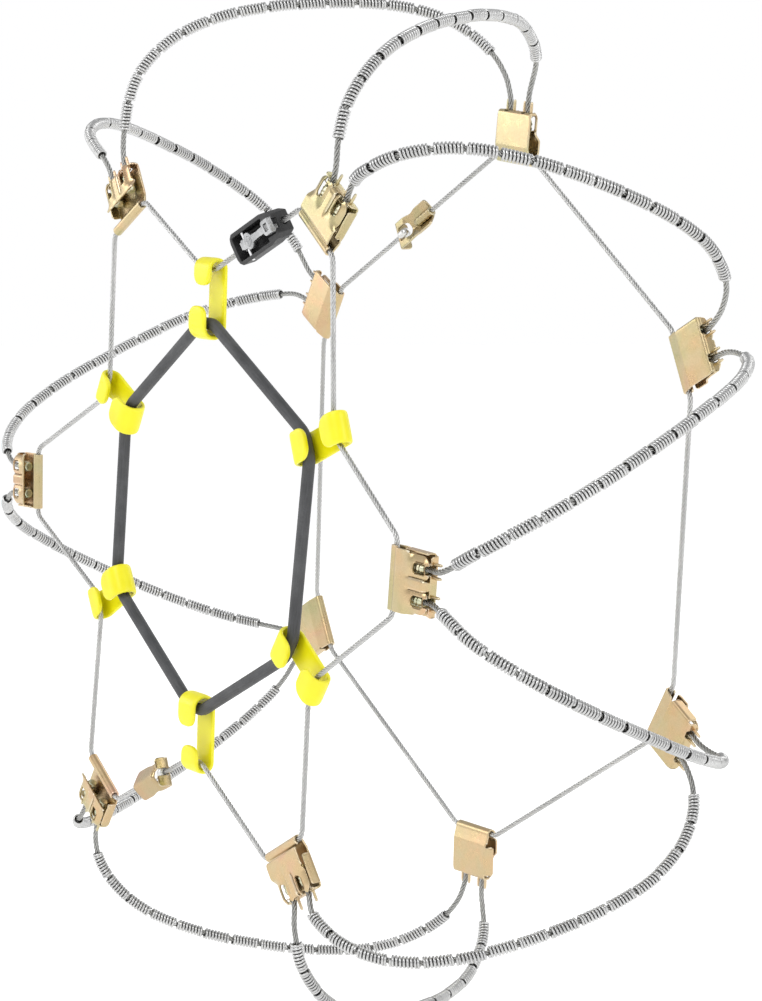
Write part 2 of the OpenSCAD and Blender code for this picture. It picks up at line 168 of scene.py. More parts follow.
lat_a, lat_b = seat(0, -1), mouth(1, 1)
lat_dir = unit(lat_b - lat_a)
lat_c = lat_a + (lat_b - lat_a) * 0.58
pla_a, pla_b = mouth(4, 1), seat(3, -1)
pla_dir = unit(pla_b - pla_a)
pla_c = pla_a + (pla_b - pla_a) * 0.5
inp_a, inp_b = inner_mouth(0, 1), inner_mouth(5, -1)
inp_dir = unit(inp_b - inp_a)
inp_c = (inp_a + inp_b) / 2


# ---------------------------------------------------------------- places: local (x, y, z) -> row frame, all in mm
class Place:
    def __init__(self, o, x, y, z):
        self.o, self.m = np.array(o, float), np.array([x, y, z], float)
        self.flip = np.linalg.det(self.m) < 0

    def __call__(self, p):
        return self.o + np.asarray(p, float) @ self.m


def place_polar(r, a, y, mirror=False, lean=0.0):
    c, s = math.cos(rad(a)), math.sin(rad(a))
    x, v = np.array([c, 0, s]), np.array([0, -1.0 if mirror else 1.0, 0])
    cl, sl = math.cos(rad(lean)), math.sin(rad(lean))
    return Place((r * c, y, r * s), x * cl + v * sl, v * cl - x * sl, (-s, 0, c))


def place_line(c, d, y, mirror=False, roll=0.0):
    v, w = np.array([0, -1.0 if mirror else 1.0, 0]), np.array([-d[1], 0, d[0]])
    cr_, sr = math.cos(rad(roll)), math.sin(rad(roll))
    return Place((c[0], y, c[1]), (d[0], 0, d[1]), v * cr_ + w * sr, w * cr_ - v * sr)


HERE = Place((0, 0, 0), (1, 0, 0), (0, 1, 0), (0, 0, 1))


# ---------------------------------------------------------------- mesh building
class Build:
    """Collects vertices (mm), faces and one vector attribute, and turns them into one object."""

    def __init__(self):
        self.v, self.f, self.a, self.n = [], [], [], 0

    def add(self, verts, faces, attr=None, place=HERE):
        verts = np.asarray(verts, float)
        flip = place.flip
        base = self.n
        self.v.append(place(verts))
        self.a.append(np.zeros((len(verts), 3)) if attr is None else np.asarray(attr, float))
        for f in faces:
            f = np.asarray(f, int)
            if f.ndim == 1:
                f = f[None]
            self.f.append((f[:, ::-1] if flip else f) + base)
        self.n += len(verts)

    def object(self, name, material, smooth_angle=None):
        v = np.concatenate(self.v) * MM
        a = np.concatenate(self.a)
        loops = np.concatenate([f.reshape(-1) for f in self.f])
        sizes = np.concatenate([np.full(len(f), f.shape[1]) for f in self.f])
        starts = np.concatenate([[0], np.cumsum(sizes)[:-1]])
        me = bpy.data.meshes.new(name)
        me.vertices.add(len(v))
        me.vertices.foreach_set("co", v.astype(np.float32).ravel())
        me.loops.add(len(loops))
        me.loops.foreach_set("vertex_index", loops.astype(np.int32))
        me.polygons.add(len(sizes))
        me.polygons.foreach_set("loop_start", starts.astype(np.int32))
        me.polygons.foreach_set("use_smooth", np.ones(len(sizes), bool))
        me.update(calc_edges=True)
        me.validate()
        at = me.attributes.new("lay", "FLOAT_VECTOR", "POINT")
        if len(at.data) == len(a):
            at.data.foreach_set("vector", a.astype(np.float32).ravel())
        o = bpy.data.objects.new(name, me)
        bpy.context.scene.collection.objects.link(o)
        me.materials.append(material)
        if smooth_angle:
            sharpen(me, smooth_angle)
        return o


def sharpen(me, deg):
    """Marks edges sharper than deg, so that flat faces stay flat when shaded smooth."""
    bm = bmesh.new()
    bm.from_mesh(me)
    for e in bm.edges:
        if len(e.link_faces) == 2 and e.calc_face_angle(0) > rad(deg):
            e.smooth = False
    bm.to_mesh(me)
    bm.free()


class Path:
    """A polyline with a twist-free frame all along it."""

    def __init__(self, p):
        p = np.asarray(p, float)
        keep = np.concatenate([[True], np.linalg.norm(np.diff(p, axis=0), axis=1) > 1e-6])
        self.p = p = p[keep]
        self.s = run(p)
        self.l = self.s[-1]
        t = np.gradient(p, self.s, axis=0)
        t /= np.linalg.norm(t, axis=1)[:, None]
        n = [unit(np.cross(t[0], [0.3, 1, 0.2]))]
        for k in range(1, len(p)):
            v = n[-1] - t[k] * (n[-1] @ t[k])
            n.append(unit(v))
        self.t, self.n = t, np.array(n)

    def at(self, s):
        s = np.asarray(s, float)
        P = np.stack([np.interp(s, self.s, self.p[:, k]) for k in range(3)], -1)
        T = np.stack([np.interp(s, self.s, self.t[:, k]) for k in range(3)], -1)
        N = np.stack([np.interp(s, self.s, self.n[:, k]) for k in range(3)], -1)
        T /= np.linalg.norm(T, axis=-1, keepdims=True)
        N -= T * (N * T).sum(-1, keepdims=True)
        N /= np.linalg.norm(N, axis=-1, keepdims=True)
        return P, T, N, np.cross(T, N)


def sweep(b, C, N, B, radius, sides, length, place=HERE, round_end=0.0):
    """Tube with centre C and section axes N, B. radius is one number or one for each ring."""
    m = len(C)
    radius = np.broadcast_to(radius, (m,)).astype(float)
    if round_end:
        e = round_end
        k = 4
        T0, T1 = unit(C[0] - C[1]), unit(C[-1] - C[-2])
        fr = [math.cos(math.pi / 2 * (1 - j / k)) for j in range(1, k)]
        ax = [math.sin(math.pi / 2 * (1 - j / k)) for j in range(1, k)]
        head = [C[0] + T0 * e * x for x in ax]
        tail = [C[-1] + T1 * e * x for x in ax[::-1]]
        hr = [radius[0] - e * (1 - f) for f in fr]
        tr = [radius[-1] - e * (1 - f) for f in fr[::-1]]
        C = np.concatenate([head, C, tail])
        N = np.concatenate([[N[0]] * (k - 1), N, [N[-1]] * (k - 1)])
        B = np.concatenate([[B[0]] * (k - 1), B, [B[-1]] * (k - 1)])
        length = np.concatenate([[length[0]] * (k - 1), length, [length[-1]] * (k - 1)])
        radius = np.concatenate([hr, radius, tr])
        m = len(C)
    th = np.arange(sides) * 2 * math.pi / sides
    c, s = np.cos(th), np.sin(th)
    v = C[:, None] + radius[:, None, None] * (c[None, :, None] * N[:, None] + s[None, :, None] * B[:, None])
    at = np.stack([np.broadcast_to(c, (m, sides)), np.broadcast_to(s, (m, sides)), np.broadcast_to(np.asarray(length)[:, None], (m, sides))], -1)
    i, j = np.meshgrid(np.arange(m - 1), np.arange(sides), indexing="ij")
    j2 = (j + 1) % sides
    q = np.stack([i * sides + j, i * sides + j2, (i + 1) * sides + j2, (i + 1) * sides + j], -1).reshape(-1, 4)
    caps = [np.arange(sides)[::-1], (m - 1) * sides + np.arange(sides)]
    b.add(v.reshape(-1, 3), [q] + caps, at.reshape(-1, 3), place)


def rope(b, path, s0, s1, d, lay, steps=14, sides=8, phase=0.0, core_sides=8):
    """A wire rope: six strands round a core. The attribute holds each strand's own angle and length."""
    n = max(4, int((s1 - s0) / lay * steps))
    s = np.linspace(s0, s1, n + 1)
    P, T, N, B = path.at(s)
    r = d / 3
    for k in range(6):
        ph = phase + 2 * math.pi * (k / 6 + s / lay)
        R = np.cos(ph)[:, None] * N + np.sin(ph)[:, None] * B
        C = P + r * R
        t = np.gradient(C, s, axis=0)
        t /= np.linalg.norm(t, axis=1)[:, None]
        R = R - t * (R * t).sum(1)[:, None]
        R /= np.linalg.norm(R, axis=1)[:, None]
        sweep(b, C, R, np.cross(t, R), d / 6 * 1.02, sides, s + 3.7 * k)
    sweep(b, P, N, B, d / 6 * 1.02, core_sides, s)


def coil(b, path, s0, s1, radius, wire, turns, per_turn, sides, phase, shift):
    """Round wire wound round the path. Its end turns close up."""
    n = int(turns * per_turn)
    u = np.linspace(0, 1, n + 1)
    ang = u * turns * 2 * math.pi
    # a shorter pitch in the last turn at each end
    close = 0.28 / turns
    z = u + close * 0.5 * (np.cos(np.clip(u * turns, 0, 1) * math.pi) - 1) * -1 * 0
    tt = u * turns
    prog = np.where(tt < 1, tt * 0.72, np.where(tt > turns - 1, turns - 0.56 + (tt - (turns - 1)) * 0.72 - 0.44 + 0.0, 0.72 + (tt - 1) * (turns - 1.44) / (turns - 2) * 1.0))
    prog = np.where(tt > turns - 1, 0.72 + (turns - 1.44) + (tt - (turns - 1)) * 0.72, prog)
    prog = prog / prog[-1]
    s = s0 + wire / 2 + prog * (s1 - s0 - wire)
    P, T, N, B = path.at(s)
    R = np.cos(ang + phase)[:, None] * N + np.sin(ang + phase)[:, None] * B
    C = P + radius * R + shift
    t = np.gradient(C, ang, axis=0)
    t /= np.linalg.norm(t, axis=1)[:, None]
    R = R - t * (R * t).sum(1)[:, None]
    R /= np.linalg.norm(R, axis=1)[:, None]
    sweep(b, C, R, np.cross(t, R), wire / 2, sides, ang * radius, round_end=wire * 0.12)


def revolve(b, prof, sides, place=HERE, axis_o=(0, 0, 0), axis=(1, 0, 0), ref=(0, 1, 0), wob=None):
    """Solid of revolution. prof is a list of (distance along the axis, radius), ends at radius 0 or capped."""
    prof = np.asarray(prof, float)
    ax, rf = unit(axis), unit(ref)
    o3 = np.cross(ax, rf)
    th = np.arange(sides) * 2 * math.pi / sides
    m = len(prof)
    rr = np.repeat(prof[:, 1:2], sides, 1)
    if wob is not None:
        rr = rr * wob(prof[:, 0:1], th[None, :])
    v = np.asarray(axis_o) + prof[:, 0][:, None, None] * ax + rr[:, :, None] * (np.cos(th)[None, :, None] * rf + np.sin(th)[None, :, None] * o3)
    i, j = np.meshgrid(np.arange(m - 1), np.arange(sides), indexing="ij")
    j2 = (j + 1) % sides
    q = np.stack([i * sides + j, i * sides + j2, (i + 1) * sides + j2, (i + 1) * sides + j], -1).reshape(-1, 4)
    if prof[-1, 0] < prof[0, 0]:
        q = q[:, ::-1]
        caps = [np.arange(sides), ((m - 1) * sides + np.arange(sides))[::-1]]
    else:
        caps = [np.arange(sides)[::-1], (m - 1) * sides + np.arange(sides)]
    b.add(v.reshape(-1, 3), [q] + caps, None, place)


# ---- signed distances in a plate's flat pattern
def sd_box(u, v, u0, u1, v0, v1, r=0.0):
    cu, cv, hu, hv = (u0 + u1) / 2, (v0 + v1) / 2, (u1 - u0) / 2 - r, (v1 - v0) / 2 - r
    du, dv = np.abs(u - cu) - hu, np.abs(v - cv) - hv
    return np.hypot(np.maximum(du, 0), np.maximum(dv, 0)) + np.minimum(np.maximum(du, dv), 0) - r


def smin(a, b, k):
    h = np.clip(0.5 + 0.5 * (b - a) / k, 0, 1)
    return b * (1 - h) + a * h - k * h * (1 - h)


def smax(a, b, k):
    return -smin(-a, -b, k)


def sheet_part(b, u0, u1, v0, v1, step, sdf, surf, thick, bevel, place=HERE):
    """A pressed sheet: flat pattern where sdf < 0, bent by surf(u, v), with rounded rims."""
    nu, nv = int(round((u1 - u0) / step)) + 1, int(round((v1 - v0) / step)) + 1
    gu, gv = np.linspace(u0, u1, nu), np.linspace(v0, v1, nv)
    U, V = np.meshgrid(gu, gv, indexing="ij")
    cu, cv = (U[:-1, :-1] + U[1:, 1:]) / 2, (V[:-1, :-1] + V[1:, 1:]) / 2
    keep = sdf(cu, cv) < 0
    # a cell that hangs on by one corner is dropped
    pad = np.pad(keep, 1)
    nb = pad[:-2, 1:-1].astype(int) + pad[2:, 1:-1] + pad[1:-1, :-2] + pad[1:-1, 2:]
    keep &= nb >= 2
    used = np.zeros((nu, nv), int)
    for a, c in ((0, 0), (1, 0), (0, 1), (1, 1)):
        used[a:nu - 1 + a, c:nv - 1 + c] += keep
    edge = (used > 0) & (used < 4)
    h = 1e-3
    for _ in range(3):
        f = sdf(U, V)
        fu, fv = (sdf(U + h, V) - sdf(U - h, V)) / (2 * h), (sdf(U, V + h) - sdf(U, V - h)) / (2 * h)
        g = np.maximum(np.hypot(fu, fv), 1e-6)
        fu, fv = fu / g, fv / g
        mv = np.where(edge, np.clip(f, -step, step), 0)
        U, V = U - fu * mv, V - fv * mv
    f = sdf(U, V)
    fu, fv = (sdf(U + h, V) - sdf(U - h, V)) / (2 * h), (sdf(U, V + h) - sdf(U, V - h)) / (2 * h)
    g = np.maximum(np.hypot(fu, fv), 1e-6)
    fu, fv = fu / g, fv / g

    def lift(u, v, w):
        p = surf(u, v)
        e = 1e-2
        n = np.cross(surf(u + e, v) - surf(u - e, v), surf(u, v + e) - surf(u, v - e))
        n /= np.maximum(np.linalg.norm(n, axis=-1, keepdims=True), 1e-12)
        return p + n * w

    Uin, Vin = np.where(edge, U - fu * bevel, U), np.where(edge, V - fv * bevel, V)
    idx = -np.ones((nu, nv), int)
    ids = np.argwhere(used > 0)
    idx[used > 0] = np.arange(len(ids))
    m = len(ids)
    top = lift(Uin, Vin, thick / 2)[used > 0]
    bot = lift(Uin, Vin, -thick / 2)[used > 0]
    q = []
    ii, jj = np.nonzero(keep)
    a, c, d, e = idx[ii, jj], idx[ii + 1, jj], idx[ii + 1, jj + 1], idx[ii, jj + 1]
    q.append(np.stack([a, c, d, e], 1))
    q.append(np.stack([e, d, c, a], 1) + m)
    verts = [top, bot]
    # rim rings
    t2, bv = thick / 2, bevel
    rings = [(-0.3 * bv, t2 - 0.3 * bv), (0, t2 - bv), (0, -(t2 - bv)), (-0.3 * bv, -(t2 - 0.3 * bv))]
    eu, ev, efu, efv = U[edge], V[edge], fu[edge], fv[edge]
    eidx = -np.ones((nu, nv), int)
    ne = int(edge.sum())
    eidx[edge] = np.arange(ne)
    for k, (dl, w) in enumerate(rings):
        verts.append(lift(eu + efu * dl, ev + efv * dl, w))
    # boundary edges, directed as in their kept cell
    bd = []
    for (da, db, dn) in (((0, 0), (1, 0), (0, -1)), ((1, 0), (1, 1), (1, 0)), ((1, 1), (0, 1), (0, 1)), ((0, 1), (0, 0), (-1, 0))):
        nbk = pad_of(keep)[ii + 1 + dn[0], jj + 1 + dn[1]]
        s = ~nbk
        bd.append(np.stack([ii[s] + da[0], jj[s] + da[1], ii[s] + db[0], jj[s] + db[1]], 1))
    bd = np.concatenate(bd)
    A, B2 = (bd[:, 0], bd[:, 1]), (bd[:, 2], bd[:, 3])
    chain = [(idx[A], idx[B2])] + [(2 * m + k * ne + eidx[A], 2 * m + k * ne + eidx[B2]) for k in range(4)] + [(idx[A] + m, idx[B2] + m)]
    for k in range(5):
        (a0, b0), (a1, b1) = chain[k], chain[k + 1]
        q.append(np.stack([a0, a1, b1, b0], 1))
    b.add(np.concatenate(verts), q, None, place)


def pad_of(k):
    return np.pad(k, 1)


# ---- cast parts: closed shapes joined or cut, then remeshed so that their edges are soft
def bm_object(name, fill):
    me = bpy.data.meshes.new(name)
    bm = bmesh.new()
    fill(bm)
    bmesh.ops.recalc_face_normals(bm, faces=bm.faces)
    bm.to_mesh(me)
    bm.free()
    o = bpy.data.objects.new(name, me)
    bpy.context.scene.collection.objects.link(o)
    return o


def prism(bm, poly, lo, hi, axis):
    """A polygon extruded along an axis ('x', 'y' or 'z'); poly is in the other two, in order."""
    def pt(a, c, h):
        return {"x": (h, a, c), "y": (a, h, c), "z": (a, c, h)}[axis]
    low = [bm.verts.new(pt(a, c, lo)) for a, c in poly]
    top = [bm.verts.new(pt(a, c, hi)) for a, c in poly]
    n = len(poly)
    bm.faces.new(low[::-1])
    bm.faces.new(top)
    for k in range(n):
        bm.faces.new([low[k], low[(k + 1) % n], top[(k + 1) % n], top[k]])


def disc(bm, c, r, lo, hi, axis, n=48, r2=None):
    a = [(c[0] + r * math.cos(2 * math.pi * k / n), c[1] + r * math.sin(2 * math.pi * k / n)) for k in range(n)]
    prism(bm, a, lo, hi, axis)


def block(bm, lo, hi):
    prism(bm, [(lo[0], lo[1]), (hi[0], lo[1]), (hi[0], hi[1]), (lo[0], hi[1])], lo[2], hi[2], "z")


def baked(o):
    """The object's mesh with its modifiers, as numpy arrays; the object is removed."""
    dg = bpy.context.evaluated_depsgraph_get()
    dg.update()
    me = bpy.data.meshes.new_from_object(o.evaluated_get(dg))
    v = np.empty(len(me.vertices) * 3)
    me.vertices.foreach_get("co", v)
    f = [np.array(p.vertices[:]) for p in me.polygons]
    bpy.data.meshes.remove(me)
    bpy.data.objects.remove(o)
    return v.reshape(-1, 3), f


def cast_part(b, solid, cut=(), voxel=0.4, soften=3, place=HERE):
    """Closed shapes joined, others cut away, then one even mesh with softened edges."""
    made = [bm_object("cast%d" % k, f) for k, f in enumerate(list(solid) + list(cut))]
    o = made[0]
    for k, c in enumerate(made[1:], 1):
        m = o.modifiers.new("c%d" % k, "BOOLEAN")
        m.object, m.solver = c, "MANIFOLD"
        m.operation = "UNION" if k < len(solid) else "DIFFERENCE"
    r = o.modifiers.new("r", "REMESH")
    r.mode, r.voxel_size = "VOXEL", voxel
    s = o.modifiers.new("s", "SMOOTH")
    s.factor, s.iterations = 0.5, soften
    v, f = baked(o)
    for c in made[1:]:
        bpy.data.objects.remove(c)
    quads = [p for p in f if len(p) == 4]
    rest = [p for p in f if len(p) != 4]
    b.add(v, ([np.array(quads)] if quads else []) + rest, None, place)


# ---------------------------------------------------------------- materials
class Mat:
    def __init__(self, name):
        self.m = bpy.data.materials.new(name)
        self.m.use_nodes = True
        self.t = self.m.node_tree
        self.t.nodes.clear()
        self.out = self.t.nodes.new("ShaderNodeOutputMaterial")
        self.b = self.t.nodes.new("ShaderNodeBsdfPrincipled")
        self.t.links.new(self.b.outputs[0], self.out.inputs[0])
        self.tc = self.t.nodes.new("ShaderNodeTexCoord")

    def set(self, **kw):
        for k, v in kw.items():
            self.b.inputs[k.replace("_", " ")].default_value = v

    def link(self, a, b):
        self.t.links.new(a, b)

    def noise(self, scale, detail=4, rough=0.5, coord=None, distortion=0.0):
        n = self.t.nodes.new("ShaderNodeTexNoise")
        n.inputs["Scale"].default_value = scale
        n.inputs["Detail"].default_value = detail
        n.inputs["Roughness"].default_value = rough
        n.inputs["Distortion"].default_value = distortion
        self.link(coord or self.tc.outputs["Object"], n.inputs["Vector"])
        return n.outputs["Fac"]

    def ramp(self, fac, stops):
        r = self.t.nodes.new("ShaderNodeValToRGB")
        e = r.color_ramp.elements
        while len(e) < len(stops):
            e.new(0.5)
        for k, (p, c) in enumerate(stops):
            e[k].position = p
            e[k].color = (*c, 1) if len(c) == 3 else c
        self.link(fac, r.inputs["Fac"])
        return r.outputs["Color"]

    def math(self, op, a, b=None, clamp=False):
        n = self.t.nodes.new("ShaderNodeMath")
        n.operation, n.use_clamp = op, clamp
        for k, x in enumerate((a, b)):
            if x is None:
                continue
            if isinstance(x, (int, float)):
                n.inputs[k].default_value = x
            else:
                self.link(x, n.inputs[k])
        return n.outputs[0]

    def map(self, x, a, b, c, d):
        n = self.t.nodes.new("ShaderNodeMapRange")
        n.clamp = True
        self.link(x, n.inputs["Value"])
        for k, q in zip(("From Min", "From Max", "To Min", "To Max"), (a, b, c, d)):
            n.inputs[k].default_value = q
        return n.outputs["Result"]

    def mix(self, f, a, b, kind="MIX"):
        n = self.t.nodes.new("ShaderNodeMix")
        n.data_type, n.blend_type = "RGBA", kind
        for key, x in ((0, f), (6, a), (7, b)):
            if isinstance(x, (int, float)):
                n.inputs[key].default_value = x
            elif isinstance(x, tuple):
                n.inputs[key].default_value = (*x, 1)
            else:
                self.link(x, n.inputs[key])
        return n.outputs[2]

    def bump(self, height, strength, dist, normal=None):
        n = self.t.nodes.new("ShaderNodeBump")
        n.inputs["Strength"].default_value = strength
        n.inputs["Distance"].default_value = dist
        self.link(height, n.inputs["Height"])
        if normal is not None:
            self.link(normal, n.inputs["Normal"])
        return n.outputs[0]

    def lay(self):
        a = self.t.nodes.new("ShaderNodeAttribute")
        a.attribute_name = "lay"
        s = self.t.nodes.new("ShaderNodeSeparateXYZ")
        self.link(a.outputs["Vector"], s.inputs[0])
        return s.outputs

    def pointy(self):
        g = self.t.nodes.new("ShaderNodeNewGeometry")
        return g.outputs["Pointiness"]

    def done(self, color=None, rough=None, normal=None):
        for k, x in (("Base Color", color), ("Roughness", rough), ("Normal", normal)):
            if x is not None:
                self.link(x, self.b.inputs[k])
        return self.m


def mat_coil():
    m = Mat("coil_steel")
    m.set(Metallic=1.0)
    c, s, l = m.lay()
    n = m.noise(900, 3)
    big = m.noise(28, 2)
    col = m.ramp(m.math("ADD", m.math("MULTIPLY", n, 0.55), m.math("MULTIPLY", big, 0.45)), [(0.3, (0.42, 0.42, 0.42)), (0.5, (0.54, 0.54, 0.535)), (0.68, (0.66, 0.66, 0.655))])
    # painted shade: the side of each turn that faces the cable is darkened almost to black, where shade falls between
    # wire and cable
    inner = m.map(c, -0.45, 0.35, 0.95, 0.0)
    col = m.mix(inner, col, (0.05, 0.05, 0.048))
    # drawing lines along the wire
    v = m.t.nodes.new("ShaderNodeCombineXYZ")
    m.link(m.math("MULTIPLY", c, 2.2), v.inputs[0])
    m.link(m.math("MULTIPLY", s, 2.2), v.inputs[1])
    m.link(m.math("MULTIPLY", l, 0.05), v.inputs[2])
    lines = m.noise(4.0, 5, 0.65, v.outputs[0])
    rough = m.map(lines, 0.25, 0.75, 0.20, 0.36)
    return m.done(col, rough, m.bump(lines, 0.25, 0.00008))


def mat_rope(name, lo, mid, hi, core_shade=0.75):
    m = Mat(name)
    m.set(Metallic=1.0)
    c, s, l = m.lay()
    ang = m.math("ARCTAN2", s, c)
    # the wires of each strand lie against its own twist, so they run almost along the rope
    w = m.math("SINE", m.math("ADD", m.math("MULTIPLY", ang, 6.0), m.math("MULTIPLY", l, 1.65)))
    h = m.math("POWER", m.math("MULTIPLY", m.math("ADD", w, 1.0), 0.5), 0.55)
    n = m.noise(700, 3)
    big = m.noise(22, 2)
    col = m.ramp(m.math("ADD", m.math("MULTIPLY", n, 0.5), m.math("MULTIPLY", big, 0.5)), [(0.32, lo), (0.5, mid), (0.66, hi)])
    # painted shade in the grooves between the wires of each strand
    col = m.mix(m.map(h, 0.0, 0.5, 0.55, 0.0), col, (0.09, 0.09, 0.085))
    # painted shade: each strand is darkened on the side that faces the rope's core; the parameter sets how dark
    col = m.mix(m.map(c, -0.6, 0.35, core_shade, 0.0), col, (0.05, 0.05, 0.05))
    rough = m.map(n, 0.3, 0.7, 0.28, 0.44)
    return m.done(col, rough, m.bump(h, 0.7, 0.00016, m.bump(n, 0.1, 0.00004)))


def mat_gold(name, tint=0.0, dark=1.0):
    m = Mat(name)
    m.set(Metallic=1.0)
    a = m.noise(42, 3, 0.5, distortion=0.4)
    b = m.noise(75, 2, 0.5, distortion=0.8)
    part = m.noise(7.5, 1, 0.4)
    fine = m.noise(1500, 4, 0.6)
    d = dark
    col = m.ramp(m.math("ADD", m.math("MULTIPLY", a, 0.5), m.math("MULTIPLY", part, 0.5)),
                 [(0.36, (0.46 * d, 0.43 * d, 0.23 * d)), (0.46, (0.56 * d, 0.45 * d, 0.25 * d)), (0.54, (0.62 * d, 0.44 * d, 0.25 * d)), (0.64, (0.63 * d, 0.37 * d, 0.26 * d))])
    col = m.mix(m.map(b, 0.45, 0.72, 0.0, 0.5), col, (0.60 * d, 0.50 * d, 0.33 * d))
    col = m.mix(m.map(fine, 0.35, 0.75, 0.0, 0.30), col, (0.30 * d, 0.23 * d, 0.12 * d))
    # painted highlight: convex rims and bends are lightened to a pale gold
    edge = m.map(m.pointy(), 0.53, 0.60, 0.0, 0.75)
    col = m.mix(edge, col, (0.93, 0.88, 0.74))
    # painted shade: hollows are darkened to a deep brown
    hollow_shade = m.map(m.pointy(), 0.42, 0.49, 0.85, 0.0)
    col = m.mix(hollow_shade, col, (0.20, 0.12, 0.05))
    rough = m.map(m.math("ADD", m.math("MULTIPLY", fine, 0.5), m.math("MULTIPLY", b, 0.5)), 0.35, 0.65, 0.24, 0.40)
    return m.done(col, rough, m.bump(fine, 0.18, 0.00006, m.bump(a, 0.10, 0.0004)))


def mat_ferrule():
    m = Mat("ferrule_zinc")
    m.set(Metallic=1.0)
    a = m.noise(120, 3)
    f = m.noise(1300, 4)
    col = m.ramp(a, [(0.32, (0.46, 0.50, 0.34)), (0.52, (0.66, 0.66, 0.48)), (0.7, (0.74, 0.68, 0.50))])
    col = m.mix(m.map(f, 0.4, 0.75, 0.0, 0.35), col, (0.34, 0.34, 0.26))
    return m.done(col, m.map(f, 0.3, 0.7, 0.30, 0.46), m.bump(f, 0.25, 0.00008))


def mat_yellow():
    m = Mat("hook_yellow")
    m.set(IOR=1.47, Subsurface_Weight=0.12, Subsurface_Scale=0.002)
    m.b.inputs["Subsurface Radius"].default_value = (1.0, 0.8, 0.1)
    a = m.noise(45, 3)
    f = m.noise(1400, 5, 0.6)
    col = m.ramp(a, [(0.3, (0.74, 0.67, 0.002)), (0.5, (0.80, 0.74, 0.003)), (0.7, (0.83, 0.78, 0.006))])
    # painted highlight: rims are lightened to a pale yellow
    col = m.mix(m.map(m.pointy(), 0.51, 0.60, 0.0, 0.45), col, (0.93, 0.91, 0.16))
    col = m.mix(m.map(f, 0.55, 0.8, 0.0, 0.10), col, (0.62, 0.55, 0.01))
    rough = m.map(f, 0.3, 0.7, 0.30, 0.42)
    return m.done(col, rough, m.bump(f, 0.10, 0.00008, m.bump(a, 0.12, 0.0006)))


def mat_rubber():
    m = Mat("ring_rubber")
    m.set(IOR=1.5)
    c, s, l = m.lay()
    f = m.noise(1100, 5, 0.65)
    a = m.noise(60, 3)
    v = m.t.nodes.new("ShaderNodeCombineXYZ")
    m.link(m.math("MULTIPLY", c, 1.5), v.inputs[0])
    m.link(m.math("MULTIPLY", s, 1.5), v.inputs[1])
    m.link(m.math("MULTIPLY", l, 0.02), v.inputs[2])
    lines = m.noise(3.5, 4, 0.6, v.outputs[0])
    col = m.ramp(m.math("ADD", m.math("MULTIPLY", f, 0.4), m.math("MULTIPLY", a, 0.6)), [(0.35, (0.028, 0.029, 0.031)), (0.5, (0.045, 0.046, 0.049)), (0.66, (0.075, 0.077, 0.080))])
    col = m.mix(m.map(lines, 0.45, 0.75, 0.0, 0.35), col, (0.10, 0.10, 0.105))
    rough = m.map(f, 0.3, 0.7, 0.50, 0.68)
    return m.done(col, rough, m.bump(f, 0.22, 0.00014, m.bump(lines, 0.3, 0.0003)))


def mat_black():
    m = Mat("latch_black")
    m.set(IOR=1.5)
    f = m.noise(900, 5, 0.6)
    a = m.noise(80, 3)
    col = m.ramp(a, [(0.35, (0.010, 0.010, 0.011)), (0.65, (0.022, 0.022, 0.023))])
    col = m.mix(m.map(m.pointy(), 0.52, 0.58, 0.0, 0.35), col, (0.09, 0.09, 0.095))
    return m.done(col, m.map(f, 0.3, 0.7, 0.42, 0.60), m.bump(f, 0.3, 0.00012))


def mat_zinc(name, lo, hi, r0, r1, scale=500):
    m = Mat(name)
    m.set(Metallic=1.0)
    f = m.noise(scale, 4, 0.6)
    a = m.noise(90, 3)
    col = m.ramp(m.math("ADD", m.math("MULTIPLY", f, 0.4), m.math("MULTIPLY", a, 0.6)), [(0.34, lo), (0.64, hi)])
    col = m.mix(m.map(m.pointy(), 0.53, 0.60, 0.0, 0.5), col, (0.9, 0.9, 0.9))
    # painted shade: hollows are darkened towards black
    col = m.mix(m.map(m.pointy(), 0.40, 0.47, 0.7, 0.0), col, (0.10, 0.10, 0.10))
    return m.done(col, m.map(f, 0.3, 0.7, r0, r1), m.bump(f, 0.2, 0.0001))


M_coil = mat_coil()
# the cross cable is a darker copy of the side cable's steel: painted shade, for the cable that lies in shade inside the
# coils
M_cross_shaded = mat_rope("cross_cable", (0.30, 0.30, 0.29), (0.42, 0.42, 0.405), (0.54, 0.54, 0.52))
M_side = mat_rope("side_cable", (0.50, 0.50, 0.49), (0.62, 0.62, 0.61), (0.74, 0.74, 0.73), core_shade=0.5)
M_gold = mat_gold("bracket_zinc")
M_plate = mat_gold("plate_zinc", dark=0.82)
M_ferrule = mat_ferrule()
M_yellow = mat_yellow()
M_rubber = mat_rubber()
M_black = mat_black()
M_lever = mat_zinc("lever_zinc", (0.30, 0.305, 0.31), (0.52, 0.525, 0.53), 0.28, 0.46)
M_pin = mat_zinc("pin_steel", (0.66, 0.66, 0.67), (0.84, 0.84, 0.85), 0.16, 0.28, 900)
M_stop = mat_zinc("stop_alloy", (0.50, 0.50, 0.50), (0.68, 0.68, 0.68), 0.30, 0.48)
M_button = mat_zinc("button_steel", (0.52, 0.52, 0.51), (0.74, 0.74, 0.72), 0.24, 0.40)


def finish_piece(o, body, slot, *nodes):
    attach(o, body)
    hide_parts(*nodes)


